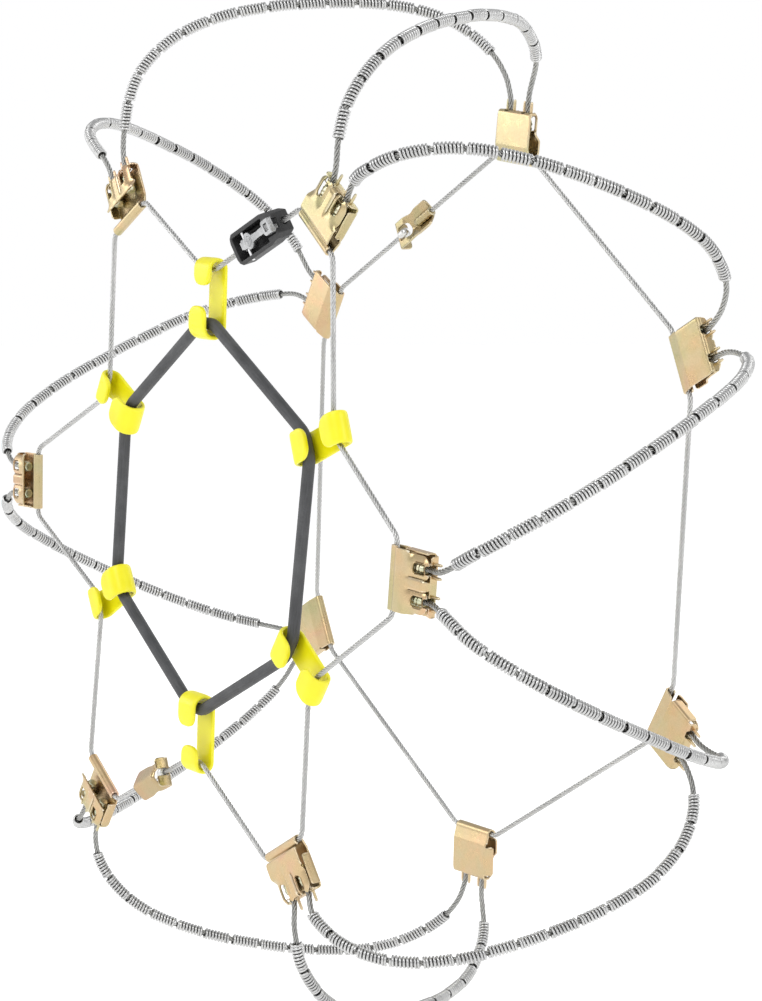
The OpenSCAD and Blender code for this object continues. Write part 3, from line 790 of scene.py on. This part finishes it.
# ---------------------------------------------------------------- cross cables and their coils
names = [(i, up, "%d%s" % (i + 1, "a" if up else "b")) for i in range(6) for up in (True, False)]
WIRE = 1.75
for i, up, tag in names:
    path = Path(strand_points(i, up))
    b = Build()
    rope(b, path, 1.2, path.l - 1.2, cross_d, 21.0, steps=12, sides=7, phase=rng.uniform(0, 6))
    finish_piece(b.object("cross_rope_" + tag, M_cross_shaded), "net", "cross_cable", "cross_cable_" + tag)
    l = path.l
    first = coil_near if (i == 3) == up and 0 < i < 4 else coil_start
    n = int(math.floor((l - first - coil_start + coil_pitch - coil_len) / coil_pitch))
    b = Build()
    for k in range(n):
        s0 = first + k * coil_pitch - 0.6 + rng.uniform(-0.25, 0.25)
        # a small sideways shift, within the play on the cable
        P, T, N, B = path.at(s0 + coil_len / 2)
        a = rng.uniform(0, 6.283)
        shift = 0.2 * (math.cos(a) * N + math.sin(a) * B)
        coil(b, path, s0, s0 + coil_len + 1.2, (coil_d - WIRE) / 2, WIRE, 8.5, 16, 8, rng.uniform(0, 6.283), shift)
    finish_piece(b.object("coil_wire_" + tag, M_coil), "net", "coil_steel", "traction_coils_" + tag)


# ---------------------------------------------------------------- side cables
def side_rope(name, pts, node, place_y, s0=0.0, s1=0.0):
    path = Path(pts)
    # even samples keep the twist smooth through the bends
    s = np.linspace(0, path.l, int(path.l / 1.5))
    path = Path(path.at(s)[0])
    b = Build()
    rope(b, path, s0, path.l - s1, side_d, 17.0, steps=11, sides=7)
    finish_piece(b.object(name, M_side), "net", "side_cable", node)


p = [lat_c + lat_dir * 2, mouth(1, 1), mouth(1, -1), seat(1, 1), seat(1, -1), mouth(2, 1), mouth(2, -1), seat(2, 1), seat(2, -1),
     mouth(3, 1), mouth(3, -1), seat(3, 1), seat(3, -1), pla_c + pla_dir * 16.2]
side_rope("side_rope_right", rounded(p, [8 if k % 4 in (1, 2) else 10 for k in range(14)], yo), "outer_cable_right", yo)
p = [lat_c - lat_dir * 16.8, seat(0, -1), seat(0, 1), mouth(0, -1), mouth(0, 1), seat(5, -1), seat(5, 1), mouth(5, -1), mouth(5, 1),
     seat(4, -1), seat(4, 1), mouth(4, -1), mouth(4, 1), pla_c + pla_dir * piv]
side_rope("side_rope_left", rounded(p, [10 if k % 4 in (1, 2) else 8 for k in range(14)], yo), "outer_cable_left", yo)
p = [inp_c + inp_dir * 16.2, inner_mouth(5, -1), inner_mouth(5, 1)]
for j in (4, 3, 2, 1):
    p += [inner_mouth(j, -1), inner_mouth(j, 1)]
p += [inner_mouth(0, -1), inner_mouth(0, 1), inp_c + inp_dir * piv]
side_rope("side_rope_inner", rounded(p, [9] * len(p), yi), "inner_side_cable", yi)


# ---------------------------------------------------------------- brackets
TH = 1.3
F = ferrule_d / 2 + 0.3 + 0.65


def poly_path(pts, soft=0.0):
    p = np.array(pts, float)
    for _ in range(3 if soft else 0):
        q = [p[0]]
        for a, c in zip(p[:-1], p[1:]):
            q += [a * 0.75 + c * 0.25, a * 0.25 + c * 0.75]
        p = np.array(q + [p[-1]])
    return p


def line_surface(prof, zfun=None):
    prof = np.asarray(prof)
    s = run(prof)
    fine = np.linspace(0, s[-1], 900)
    px, py = np.interp(fine, s, prof[:, 0]), np.interp(fine, s, prof[:, 1])
    k = 9
    ker = np.hanning(k + 2)[1:-1]
    ker /= ker.sum()
    pad = lambda a: np.concatenate([2 * a[0] - a[k // 2:0:-1], a, 2 * a[-1] - a[-2:-2 - k // 2:-1]])
    px, py = np.convolve(pad(px), ker, "valid"), np.convolve(pad(py), ker, "valid")

    def at(u):
        x, y = np.interp(u, fine, px), np.interp(u, fine, py)
        # beyond the ends the line goes straight on
        e0, e1 = np.minimum(u, 0), np.maximum(u - s[-1], 0)
        d0 = unit([px[1] - px[0], py[1] - py[0]])
        d1 = unit([px[-1] - px[-2], py[-1] - py[-2]])
        return x + e0 * d0[0] + e1 * d1[0], y + e0 * d0[1] + e1 * d1[1]
    return at, s[-1]


def back_tray(b, place, end, step):
    r = 2.55
    arc = [(r * math.cos(rad(t)), r * math.sin(rad(t))) for t in np.linspace(-28, -276, 34)]
    pts = arc + [(4.6, 3.55), (8.2, F), (12, F), (20, F), (28.2, F)]
    pts += [(28.9 + 1.45 * math.sin(t), F - 1.45 + 1.45 * math.cos(t)) for t in np.linspace(0, math.pi / 2, 7)]
    pts += [(30.35, 1.5), (30.35, -1.2)]
    at, L = line_surface(pts)
    fine = np.linspace(0, L, 800)
    xs, ys = at(fine)
    u_of = lambda x: float(np.interp(x, xs[200:], fine[200:])) if x < 29 else L - (30.35 - x)
    ua = float(np.interp(9.5, xs[fine > arc_len(r)], fine[fine > arc_len(r)]))
    ub = float(np.interp(28.6, xs[fine > arc_len(r)], fine[fine > arc_len(r)]))
    uf = L - 5.0
    zb = bracket_w / 2 - 1.8
    R = 1.3

    def surf(u, v):
        x, y = at(u)
        w = v * end
        k = np.clip((u - ua + 2.5) / 2.5, 0, 1)
        over = np.maximum(w - zb, 0)
        th = np.minimum(over / R, math.pi / 2)
        rest = np.maximum(over - R * math.pi / 2, 0)
        zz = np.where(w > zb, zb + R * np.sin(th), w)
        yy = y - np.where(w > zb, R * (1 - np.cos(th)) + rest, 0)
        z2 = zz * k + w * (1 - k)
        y2 = yy * k + y * (1 - k)
        return np.stack([x, y2, z2 * end], -1)

    def sdf(u, v):
        w = v * end
        hb = bracket_w / 2
        body = sd_box(u, w, 0, ub - 0.2, -hb, hb - 1.1, 1.2)
        slv = sd_box(u, w, 0, ua - 3.0, -hb, hb, 0.4)
        wall = sd_box(u, w, ua - 0.5, ub - 0.6, 13.5, hb + 5.2, 1.5)
        rim = sd_box(u, w, ub - 3, L, -hb + 0.4, hb - 1.4, 2.2)
        f = smin(smin(body, slv, 0.8), smin(wall, rim, 0.1), 0.6)
        for s in (-1, 1):
            f = smax(f, -sd_box(u, v, uf - 0.6, L + 5, s * gap / 2 - 2.7, s * gap / 2 + 2.7, 1.2), 0.3)
        return f

    sheet_part(b, -0.6, L + 0.6, -26, 26, step, sdf, surf, TH, 0.32, place)


def arc_len(r):
    return r * rad(248)


def front_plate(b, place, end, open_back, step):
    x0 = 13.2 if open_back else 3.55

    def surf(u, v):
        z = v
        xx = np.where(u > 27.3, 27.3 + 2.9 * np.sin(np.clip((u - 27.3) / 2.9, 0, math.pi / 2)), u)
        yd = np.where(u > 27.3, 2.9 * (1 - np.cos(np.clip((u - 27.3) / 2.9, 0, math.pi / 2))) + np.maximum(u - 27.3 - 2.9 * math.pi / 2, 0), 0)
        mid = np.clip((3.6 - np.abs(z)) / 1.0, 0, 1)
        t = np.clip((u - 12.5) / 6.0, 0, 1)
        t = t * t * (3 - 2 * t)
        d = np.abs(np.abs(z) - gap / 2)
        d = np.minimum(d, 8.2)
        crown = -(np.sqrt(110.0 - d * d) - 5.75)
        tip = np.maximum(u - 26.5, 0) ** 2 * 0.085
        lobe = (crown + tip) * t + -F * (1 - t)
        flat = -F + yd
        x = xx * mid + u * (1 - mid)
        y = flat * mid + lobe * (1 - mid)
        # the seam side dips to the sleeve
        y = y + 0.9 * np.clip((6.5 - u) / 3.0, 0, 1) ** 2
        return np.stack([x, y, z], -1)

    def sdf(u, v):
        w = v * end
        f = sd_box(u, w, x0, 14.6, -18.2, 18.2, 0.9)
        f = smin(f, sd_box(u, w, x0, 19.5, -18.2, 12.4, 2.0), 0.6)
        for s in (-1, 1):
            f = smin(f, sd_box(u, v, 9 if not open_back else x0, 31.4, s * gap / 2 - 7.3, s * gap / 2 + 7.3, 6.6 if not open_back else 4.5), 1.0)
        f = smin(f, sd_box(u, v, 9 if not open_back else x0, 33.4, -2.7, 2.7, 0.8), 0.8)
        for s in (-1, 1):
            # window over the ferrule, pointed towards the sleeve
            c = s * gap / 2
            du, dv = u - 24.0, v - c
            win = np.maximum(np.abs(dv) - 3.1, np.abs(du) - 4.6)
            win = smax(win, (np.abs(dv) * 0.9 - (du + 6.2)) * 0.743, 0.6)
            f = smax(f, -win, 0.5)
            f = smax(f, -sd_box(u, v, 29.0, 40, c - 2.5, c + 2.5, 0.8), 0.3)
        return f

    # u runs outward and v along the sleeve, so the upper side of the sheet looks outboard when v is turned
    sheet_part(b, x0 - 1, 34, -21, 21, step, sdf, surf, TH, 0.32, place)


def prongs(b, place):
    for s in (-1, 1):
        for g in (-1, 1):
            z = s * gap / 2 + g * 3.8
            lean = g * 0.35
            prof = [(29.2, 0.80), (29.6, 0.93), (31, 0.95), (35.6, 0.93), (37.1, 0.86), (37.7, 0.62), (37.95, 0.3)]
            revolve(b, prof, 16, place, axis_o=(0, 0.5, z - lean * 0.3), axis=(1, 0.0, lean * 0.012), ref=(0, 1, 0))
            # saddle that ties the prong to the rim
            revolve(b, [(27.6, 0.5), (27.9, 1.15), (29.6, 1.2), (30.2, 1.0), (30.4, 0.5)], 16, place, axis_o=(0, 0.5, z), axis=(1, 0, 0), ref=(0, 1, 0))


def ferrule(b, place, z):
    prof = [(13.8, 1.9), (14.0, 2.75), (14.4, 3.05)]
    for k in range(4):
        x = 15.1 + k * 2.55
        prof += [(x, 3.1), (x + 0.25, 3.42), (x + 1.35, 3.42), (x + 1.65, 3.08)]
    prof += [(25.6, 3.0), (26.0, 2.7), (26.15, 1.95), (25.9, 1.86)]
    revolve(b, prof, 36, place, axis_o=(0, 0, z), axis=(1, 0, 0), ref=(0, 1, 0),
            wob=lambda s, t: 1 + 0.02 * np.cos(6 * t) + 0.012 * np.sin(2 * t + s))


step = 0.55
for side in ("outer", "inner"):
    fb = Build()
    for i in range(6):
        place = place_polar(*BR[i], yo, lean=LEAN[i]) if side == "outer" else place_polar(inner_r, inner_a[i], yi, True)
        end = -1 if (side == "outer" and i == 1) else 1
        b = Build()
        back_tray(b, place, end, step)
        front_plate(b, place, end, side == "outer" and i in (0, 4, 5), step)
        prongs(b, place)
        o = b.object("%s_clip_%d" % (side, i + 1), M_gold)
        finish_piece(o, "net", "bracket_zinc", "%s_bracket_%d" % (side, i + 1))
        for s in (-1, 1):
            ferrule(fb, place, s * gap / 2)
    finish_piece(fb.object(side + "_crimps", M_ferrule), "net", "ferrule_zinc", side + "_ferrules")


# ---------------------------------------------------------------- tension hooks and ring
rs = ring_d / 2 + 1.9
cs = side_d / 2 + 2.5
ht = 2.8
cx, cy, rx = 0.4, rs - cs, -hook_l - 0.6


def hook(b, place):
    lr, lc = rs + ht / 2, cs + ht / 2
    pts = [(rx + 12.5 - 12.5 * k / 10, -lr) for k in range(10)]
    pts += [(rx - lr * math.sin(t), -lr * math.cos(t)) for t in np.linspace(0, math.pi, 26)]
    pts += [(rx + (cx - rx) * k / 14, lr + 0.0) for k in range(1, 14)]
    pts += [(cx + lc * math.sin(t), cy + lc * math.cos(t)) for t in np.linspace(0, math.pi, 24)]
    pts += [(cx - 10.5 * k / 10, cy - lc) for k in range(1, 11)]
    pts = np.array(pts)
    s = run(pts)
    L = s[-1]
    # closer rings at both ends
    e = np.array([0.02, 0.12, 0.3, 0.6, 1.0, 1.5, 2.2, 3.0, 4.0, 5.2, 6.6, 8.0, 9.4])
    u = np.concatenate([e, np.linspace(10.6, L - 10.6, 60), (L - e)[::-1]])
    X, Y = np.interp(u, s, pts[:, 0]), np.interp(u, s, pts[:, 1])
    tx, ty = np.gradient(X, u), np.gradient(Y, u)
    n = np.hypot(tx, ty)
    tx, ty = tx / n, ty / n
    nx, ny = -ty, tx
    d = np.minimum(u, L - u)
    hw = hook_w / 2
    half = hw * np.clip(1 - (np.clip(8.6 - d, 0, 8.6) / 8.6) ** 2.5, 0, 1) ** 0.42
    thk = np.where(d < 1.1, np.sqrt(np.clip(1 - ((1.1 - d) / 1.1) ** 2, 0, 1)), 1.0) * ht / 2
    thk = thk * (1 + 0.10 * np.exp(-((d - 4.5) / 4.0) ** 2))
    k = 28
    th = (np.arange(k) + 0.5) * 2 * math.pi / k
    # a rounded bar section: superellipse
    c, sn = np.cos(th), np.sin(th)
    ez, ey = np.sign(c) * np.abs(c) ** 0.30, np.sign(sn) * np.abs(sn) ** 0.55
    v = np.zeros((len(u), k, 3))
    v[:, :, 0] = X[:, None] + nx[:, None] * thk[:, None] * ey
    v[:, :, 1] = Y[:, None] + ny[:, None] * thk[:, None] * ey
    v[:, :, 2] = half[:, None] * ez
    i, j = np.meshgrid(np.arange(len(u) - 1), np.arange(k), indexing="ij")
    j2 = (j + 1) % k
    q = np.stack([i * k + j, (i + 1) * k + j, (i + 1) * k + j2, i * k + j2], -1).reshape(-1, 4)
    caps = [np.arange(k), ((len(u) - 1) * k + np.arange(k))[::-1]]
    b.add(v.reshape(-1, 3), [q] + caps, None, place)


for i in range(6):
    b = Build()
    hook(b, place_polar(*HK[i], yo))
    o = b.object("ring_hook_%d" % (i + 1), M_yellow)
    finish_piece(o, "hook_%d" % (i + 1), "hook_yellow", "tension_hook_%d" % (i + 1))

pts = [xz(HK[i][0] - hook_l + 0.9, HK[i][1], s * (hook_w / 2 - 2)) for i in range(6) for s in (1, -1)]
loop = []
for k in range(12):
    loop += corner(pts[k - 1], pts[k], pts[(k + 1) % 12], 14, yo, 12)
loop = np.array(loop + [loop[0]])
s = run(loop)
n = int(s[-1] / 2.4)
uu = np.arange(n) * s[-1] / n
C = np.stack([np.interp(uu, s, loop[:, k]) for k in range(3)], 1)
T = np.roll(C, -1, 0) - np.roll(C, 1, 0)
T /= np.linalg.norm(T, axis=1)[:, None]
N = np.tile([0.0, 1.0, 0.0], (n, 1))
Bn = np.cross(T, N)
sides = 28
th = np.arange(sides) * 2 * math.pi / sides
# faint moulded flats and ribs on the rubber
rr = ring_d / 2 * (1 - 0.012 * (1 + np.cos(8 * th)))
V = C[:, None] + rr[None, :, None] * (np.cos(th)[None, :, None] * N[:, None] + np.sin(th)[None, :, None] * Bn[:, None])
at = np.stack([np.broadcast_to(np.cos(th), (n, sides)), np.broadcast_to(np.sin(th), (n, sides)), np.broadcast_to(uu[:, None], (n, sides))], -1)
i, j = np.meshgrid(np.arange(n), np.arange(sides), indexing="ij")
i2, j2 = (i + 1) % n, (j + 1) % sides
q = np.stack([i * sides + j, i * sides + j2, i2 * sides + j2, i2 * sides + j], -1).reshape(-1, 4)
b = Build()
b.add(V.reshape(-1, 3), [q], at.reshape(-1, 3))
finish_piece(b.object("rubber_ring", M_rubber), "ring", "ring_rubber", "tension_ring")

# ---------------------------------------------------------------- latch
LP = place_line(lat_c, lat_dir, yo, roll=latch_roll)
lpx, lpy = -12.0, -5.4
w, h = latch_w / 2, latch_len / 2
b = Build()
outline = [(-h, -w + 5), (-h + 1.2, -w + 2), (-h + 4, -w), (h - 12, -w), (h - 4, -w + 1.4), (h, -w + 4), (h, w - 4), (h - 4, w - 1.4), (h - 12, w), (-h + 4, w), (-h + 1.2, w - 2), (-h, w - 5)]
cast_part(b, [lambda bm: prism(bm, outline, -7.6, 4.4, "y")],
          [lambda bm: prism(bm, [(1.4, w), (4.5, w - 3.4), (9, w - 3.4), (9, w + 4), (1.4, w + 4)], -h - 3, h + 3, "x"),
           lambda bm: prism(bm, [(1.4, -w - 4), (9, -w - 4), (9, -w + 3.4), (4.5, -w + 3.4), (1.4, -w)], -h - 3, h + 3, "x"),
           lambda bm: block(bm, (-h + 3.2, -20, -w + 2.6), (h - 11.8, 2.8, w - 2.6)),
           lambda bm: block(bm, (h - 12.5, -20, -w + 5), (h - 2.6, 2.8, w - 5)),
           lambda bm: block(bm, (h - 8, -20, -3.4), (h + 4, -4.4, 3.4)),
           lambda bm: disc(bm, (0, 0), side_d / 2 + 0.5, -h - 5, h + 5, "x"),
           lambda bm: disc(bm, (lpx, lpy), 1.3, -w - 5, w + 5, "z", 32)],
          voxel=0.36, soften=3, place=LP)
finish_piece(b.object("latch_body", M_black), "net", "latch_black", "latch_housing")
b = Build()
zz = w + 0.4
revolve(b, [(-zz, 0.6), (-zz + 0.15, 0.95), (-zz + 0.45, 1.08), (-zz + 1.2, 1.1), (0, 1.1), (zz - 1.2, 1.1), (zz - 0.45, 1.08), (zz - 0.15, 0.95), (zz, 0.6)], 32, LP,
        axis_o=(lpx, lpy, 0), axis=(0, 0, 1), ref=(1, 0, 0))
finish_piece(b.object("latch_hinge_pin", M_pin), "net", "pin_steel", "latch_pin")
b = Build()
revolve(b, [(-21, 1.9), (-20.9, 2.5), (-20.5, 2.78), (-19.2, 2.8), (-18.9, 2.5), (-18.3, 2.42), (-17.9, 2.7), (-17.2, 2.8), (-16.4, 2.8), (-15.9, 2.6), (-15.5, 2.2), (-15.4, 1.6)], 36, LP,
        axis_o=(0, 0, 0), axis=(1, 0, 0), ref=(0, 1, 0), wob=lambda s, t: 1 + 0.015 * np.cos(6 * t))
finish_piece(b.object("latch_crimp", M_stop), "net", "stop_alloy", "latch_cable_stop")
# lever, built closed: turned by its lift about the pin
c6, s6 = math.cos(rad(lever_lift)), math.sin(rad(lever_lift))
LV = Place(LP((lpx, lpy, 0)), LP((lpx + c6, lpy - s6, 0)) - LP((lpx, lpy, 0)), LP((lpx + s6, lpy + c6, 0)) - LP((lpx, lpy, 0)), LP((lpx, lpy, 1)) - LP((lpx, lpy, 0)))
b = Build()
cast_part(b, [lambda bm: disc(bm, (0, 0), 3.0, -3.2, 3.2, "z"),
              lambda bm: block(bm, (-3.6, -2.6, -2.4), (0.4, 0.0, 2.4)),
              lambda bm: prism(bm, [(0, -2.4), (12, -2.3), (20, -1.9), (31, -2.4), (31, 2.4), (20, 1.9), (12, 2.3), (0, 2.4)], -2.6, 0.4, "y"),
              lambda bm: disc(bm, (8, 0), 5.2, -3.0, 0.4, "y"),
              lambda bm: disc(bm, (8, 0), 3.2, -3.8, 0.4, "y"),
              lambda bm: prism(bm, [(29, -3.4), (30.4, -4.6), (38.2, -4.6), (38.2, 4.6), (30.4, 4.6), (29, 3.4)], -3.0, 0.4, "y")],
          [lambda bm: disc(bm, (0, 0), 1.3, -10, 10, "z", 32),
           lambda bm: block(bm, (31, -10, -2.4), (35.8, 10, 2.4)),
           lambda bm: disc(bm, (8, 0), 1.3, -4.6, -3.2, "y", 32)],
          voxel=0.25, soften=3, place=LV)
finish_piece(b.object("latch_arm", M_lever), "lever", "lever_zinc", "latch_lever")


# ---------------------------------------------------------------- hook plates and buttons
def plate(b, place):
    def base(x, z):
        a = np.abs(z)
        roof = -3.75 + 0.72 * (np.sqrt((a) ** 2 + 1.2) - 1.0)
        t = np.clip((x - 5) / 6.0, 0, 1)
        t = t * t * (3 - 2 * t)
        return roof * (1 - t) + 2.2 * t

    ub, R = 18.6, 1.3

    def surf(u, v):
        x = np.where(u > ub, ub + R * np.sin(np.clip((u - ub) / R, 0, math.pi / 2)), u)
        y = base(np.minimum(u, ub), v)
        up = np.where(u > ub, R * (1 - np.cos(np.clip((u - ub) / R, 0, math.pi / 2))) + np.maximum(u - ub - R * math.pi / 2, 0), 0)
        # the claw curls a little towards the plate
        x = x - 0.018 * np.maximum(up - 2, 0) ** 2
        return np.stack([x, y - up, v], -1)

    def sdf(u, v):
        f = sd_box(u, v, -19.2, 28.2, -9.5, 9.5, 2.4)
        f = smax(f, -sd_box(u, v, 7.2, 17.6, -4.9, 4.9, 1.6), 0.4)
        f = smax(f, -sd_box(u, v, 20.4, 40, -2.2, 2.2, 0.6), 0.5)
        # waisted between cover and claw
        for s in (-1, 1):
            f = smax(f, -(np.hypot(u - 1.5, v - s * 27.0) - 18.4), 0.8)
        return f

    sheet_part(b, -20.5, 29.5, -11, 11, step, sdf, surf, 1.5, 0.35, place)
    prof = [(-21.3, 1.9), (-21.2, 2.6), (-20.8, 2.95)]
    for k in range(4):
        x = -20.0 + k * 4.2
        prof += [(x, 3.0), (x + 0.5, 3.15), (x + 2.4, 3.15), (x + 3.0, 2.85)]
    prof += [(-2.6, 3.0), (-2.2, 2.7), (-2.0, 1.9)]
    revolve(b, prof, 36, place, axis_o=(0, 0, 0), axis=(1, 0, 0), ref=(0, 1, 0), wob=lambda s, t: 1 + 0.02 * np.cos(4 * t))


def button(b, place):
    R = 3.7
    prof = [(14.2 - R * math.cos(t), max(R * math.sin(t), 0.35)) for t in np.linspace(0.1, math.pi / 2, 12)]
    prof += [(16.2, 3.7), (18.2, 3.68), (18.7, 3.5), (19.0, 3.1), (19.0, 2.0), (18.7, 1.8)]
    revolve(b, prof, 40, place, axis_o=(0, 0, 0), axis=(1, 0, 0), ref=(0, 1, 0))


for side, c, d, y, mir in (("outer", pla_c, pla_dir, yo, False), ("inner", inp_c, inp_dir, yi, True)):
    pl = place_line(c, d, y, mir)
    b = Build()
    plate(b, pl)
    finish_piece(b.object(side + "_claw_plate", M_plate), side + "_plate", "plate_zinc", side + "_hook_plate")
    b = Build()
    button(b, pl)
    finish_piece(b.object(side + "_stud", M_button), "net", "button_steel", side + "_button")

# ---------------------------------------------------------------- studio
floor_z = cad_lo[2] - 0.0005
bm = bmesh.new()
rings, seg = 24, 96
center = bm.verts.new((0, 0, 0))
prev = None
for r in range(1, rings + 1):
    R = 0.12 * 1.33 ** r
    ring = [bm.verts.new((R * math.cos(2 * math.pi * k / seg), R * math.sin(2 * math.pi * k / seg), 0)) for k in range(seg)]
    for k in range(seg):
        if prev:
            bm.faces.new([prev[k], ring[k], ring[(k + 1) % seg], prev[(k + 1) % seg]])
        else:
            bm.faces.new([center, ring[k], ring[(k + 1) % seg]])
    prev = ring
me = bpy.data.meshes.new("studio_floor")
bm.to_mesh(me)
bm.free()
floor = bpy.data.objects.new("studio_floor", me)
floor.location = (0, 0, floor_z)
bpy.context.scene.collection.objects.link(floor)
m = Mat("floor_pale")
m.set(Roughness=0.85, Emission_Strength=0.44)
m.b.inputs["Emission Color"].default_value = (1, 1, 1, 1)
me.materials.append(m.done(m.ramp(m.noise(6, 3), [(0.3, (0.86, 0.86, 0.855)), (0.7, (0.88, 0.88, 0.875))])))

world = bpy.data.worlds.new("studio")
bpy.context.scene.world = world
world.use_nodes = True
nt = world.node_tree
bg = nt.nodes["Background"]
tc = nt.nodes.new("ShaderNodeTexCoord")
sp = nt.nodes.new("ShaderNodeSeparateXYZ")
nt.links.new(tc.outputs["Generated"], sp.inputs[0])
cr = nt.nodes.new("ShaderNodeValToRGB")
mr = nt.nodes.new("ShaderNodeMapRange")
mr.inputs["From Min"].default_value = -1
nt.links.new(sp.outputs[2], mr.inputs["Value"])
nt.links.new(mr.outputs[0], cr.inputs["Fac"])
e = cr.color_ramp.elements
e[0].position, e[0].color = 0.40, (1.0, 1.0, 1.0, 1)
e[1].position, e[1].color = 1.0, (0.66, 0.67, 0.68, 1)
for pos, v in ((0.58, 1.0), (0.70, 0.46), (0.84, 0.70)):
    x = e.new(pos)
    x.color = (v, v, v * 1.01, 1)
nt.links.new(cr.outputs[0], bg.inputs[0])
bg.inputs[1].default_value = 1.0


def area(name, loc, target, size, power, size_y=None):
    l = bpy.data.lights.new(name, "AREA")
    l.energy, l.size = power, size
    if size_y:
        l.shape, l.size_y = "RECTANGLE", size_y
    o = bpy.data.objects.new(name, l)
    o.location = loc
    o.rotation_euler = (Vector(target) - Vector(loc)).to_track_quat("-Z", "Y").to_euler()
    bpy.context.scene.collection.objects.link(o)


area("key", (0.6, -2.4, 2.2), (0, 0, 0), 1.6, 34)
area("fill", (-2.6, -1.8, 0.9), (0, 0, 0), 1.4, 14)
area("side", (2.6, 0.6, 1.3), (0, 0, 0), 1.2, 16)
area("back", (-0.6, 2.6, 1.7), (0, 0, 0), 1.8, 18)

# ---------------------------------------------------------------- camera: the fitted view of the photo
right = Vector((0.54816, 0.83636, -0.00420))
up_v = Vector((-0.04405, 0.03389, 0.99845))
fwd = Vector((-0.83521, 0.54713, -0.05542))
cam = bpy.data.cameras.new("camera")
cam.sensor_fit = "HORIZONTAL"
cam.sensor_width = 36
cam.lens = 3000 / 762 * 36
cam.clip_start, cam.clip_end = 0.05, 200
co = bpy.data.objects.new("camera", cam)
mx = Matrix.Identity(4)
for r in range(3):
    mx[r][0], mx[r][1], mx[r][2] = right[r], up_v[r], -fwd[r]
mx[0][3], mx[1][3], mx[2][3] = 1.62372, -1.03834, 0.10812
co.matrix_world = mx
bpy.context.scene.collection.objects.link(co)
bpy.context.scene.camera = co
bpy.context.scene.view_settings.view_transform = "Standard"
bpy.context.scene.view_settings.look = "None"
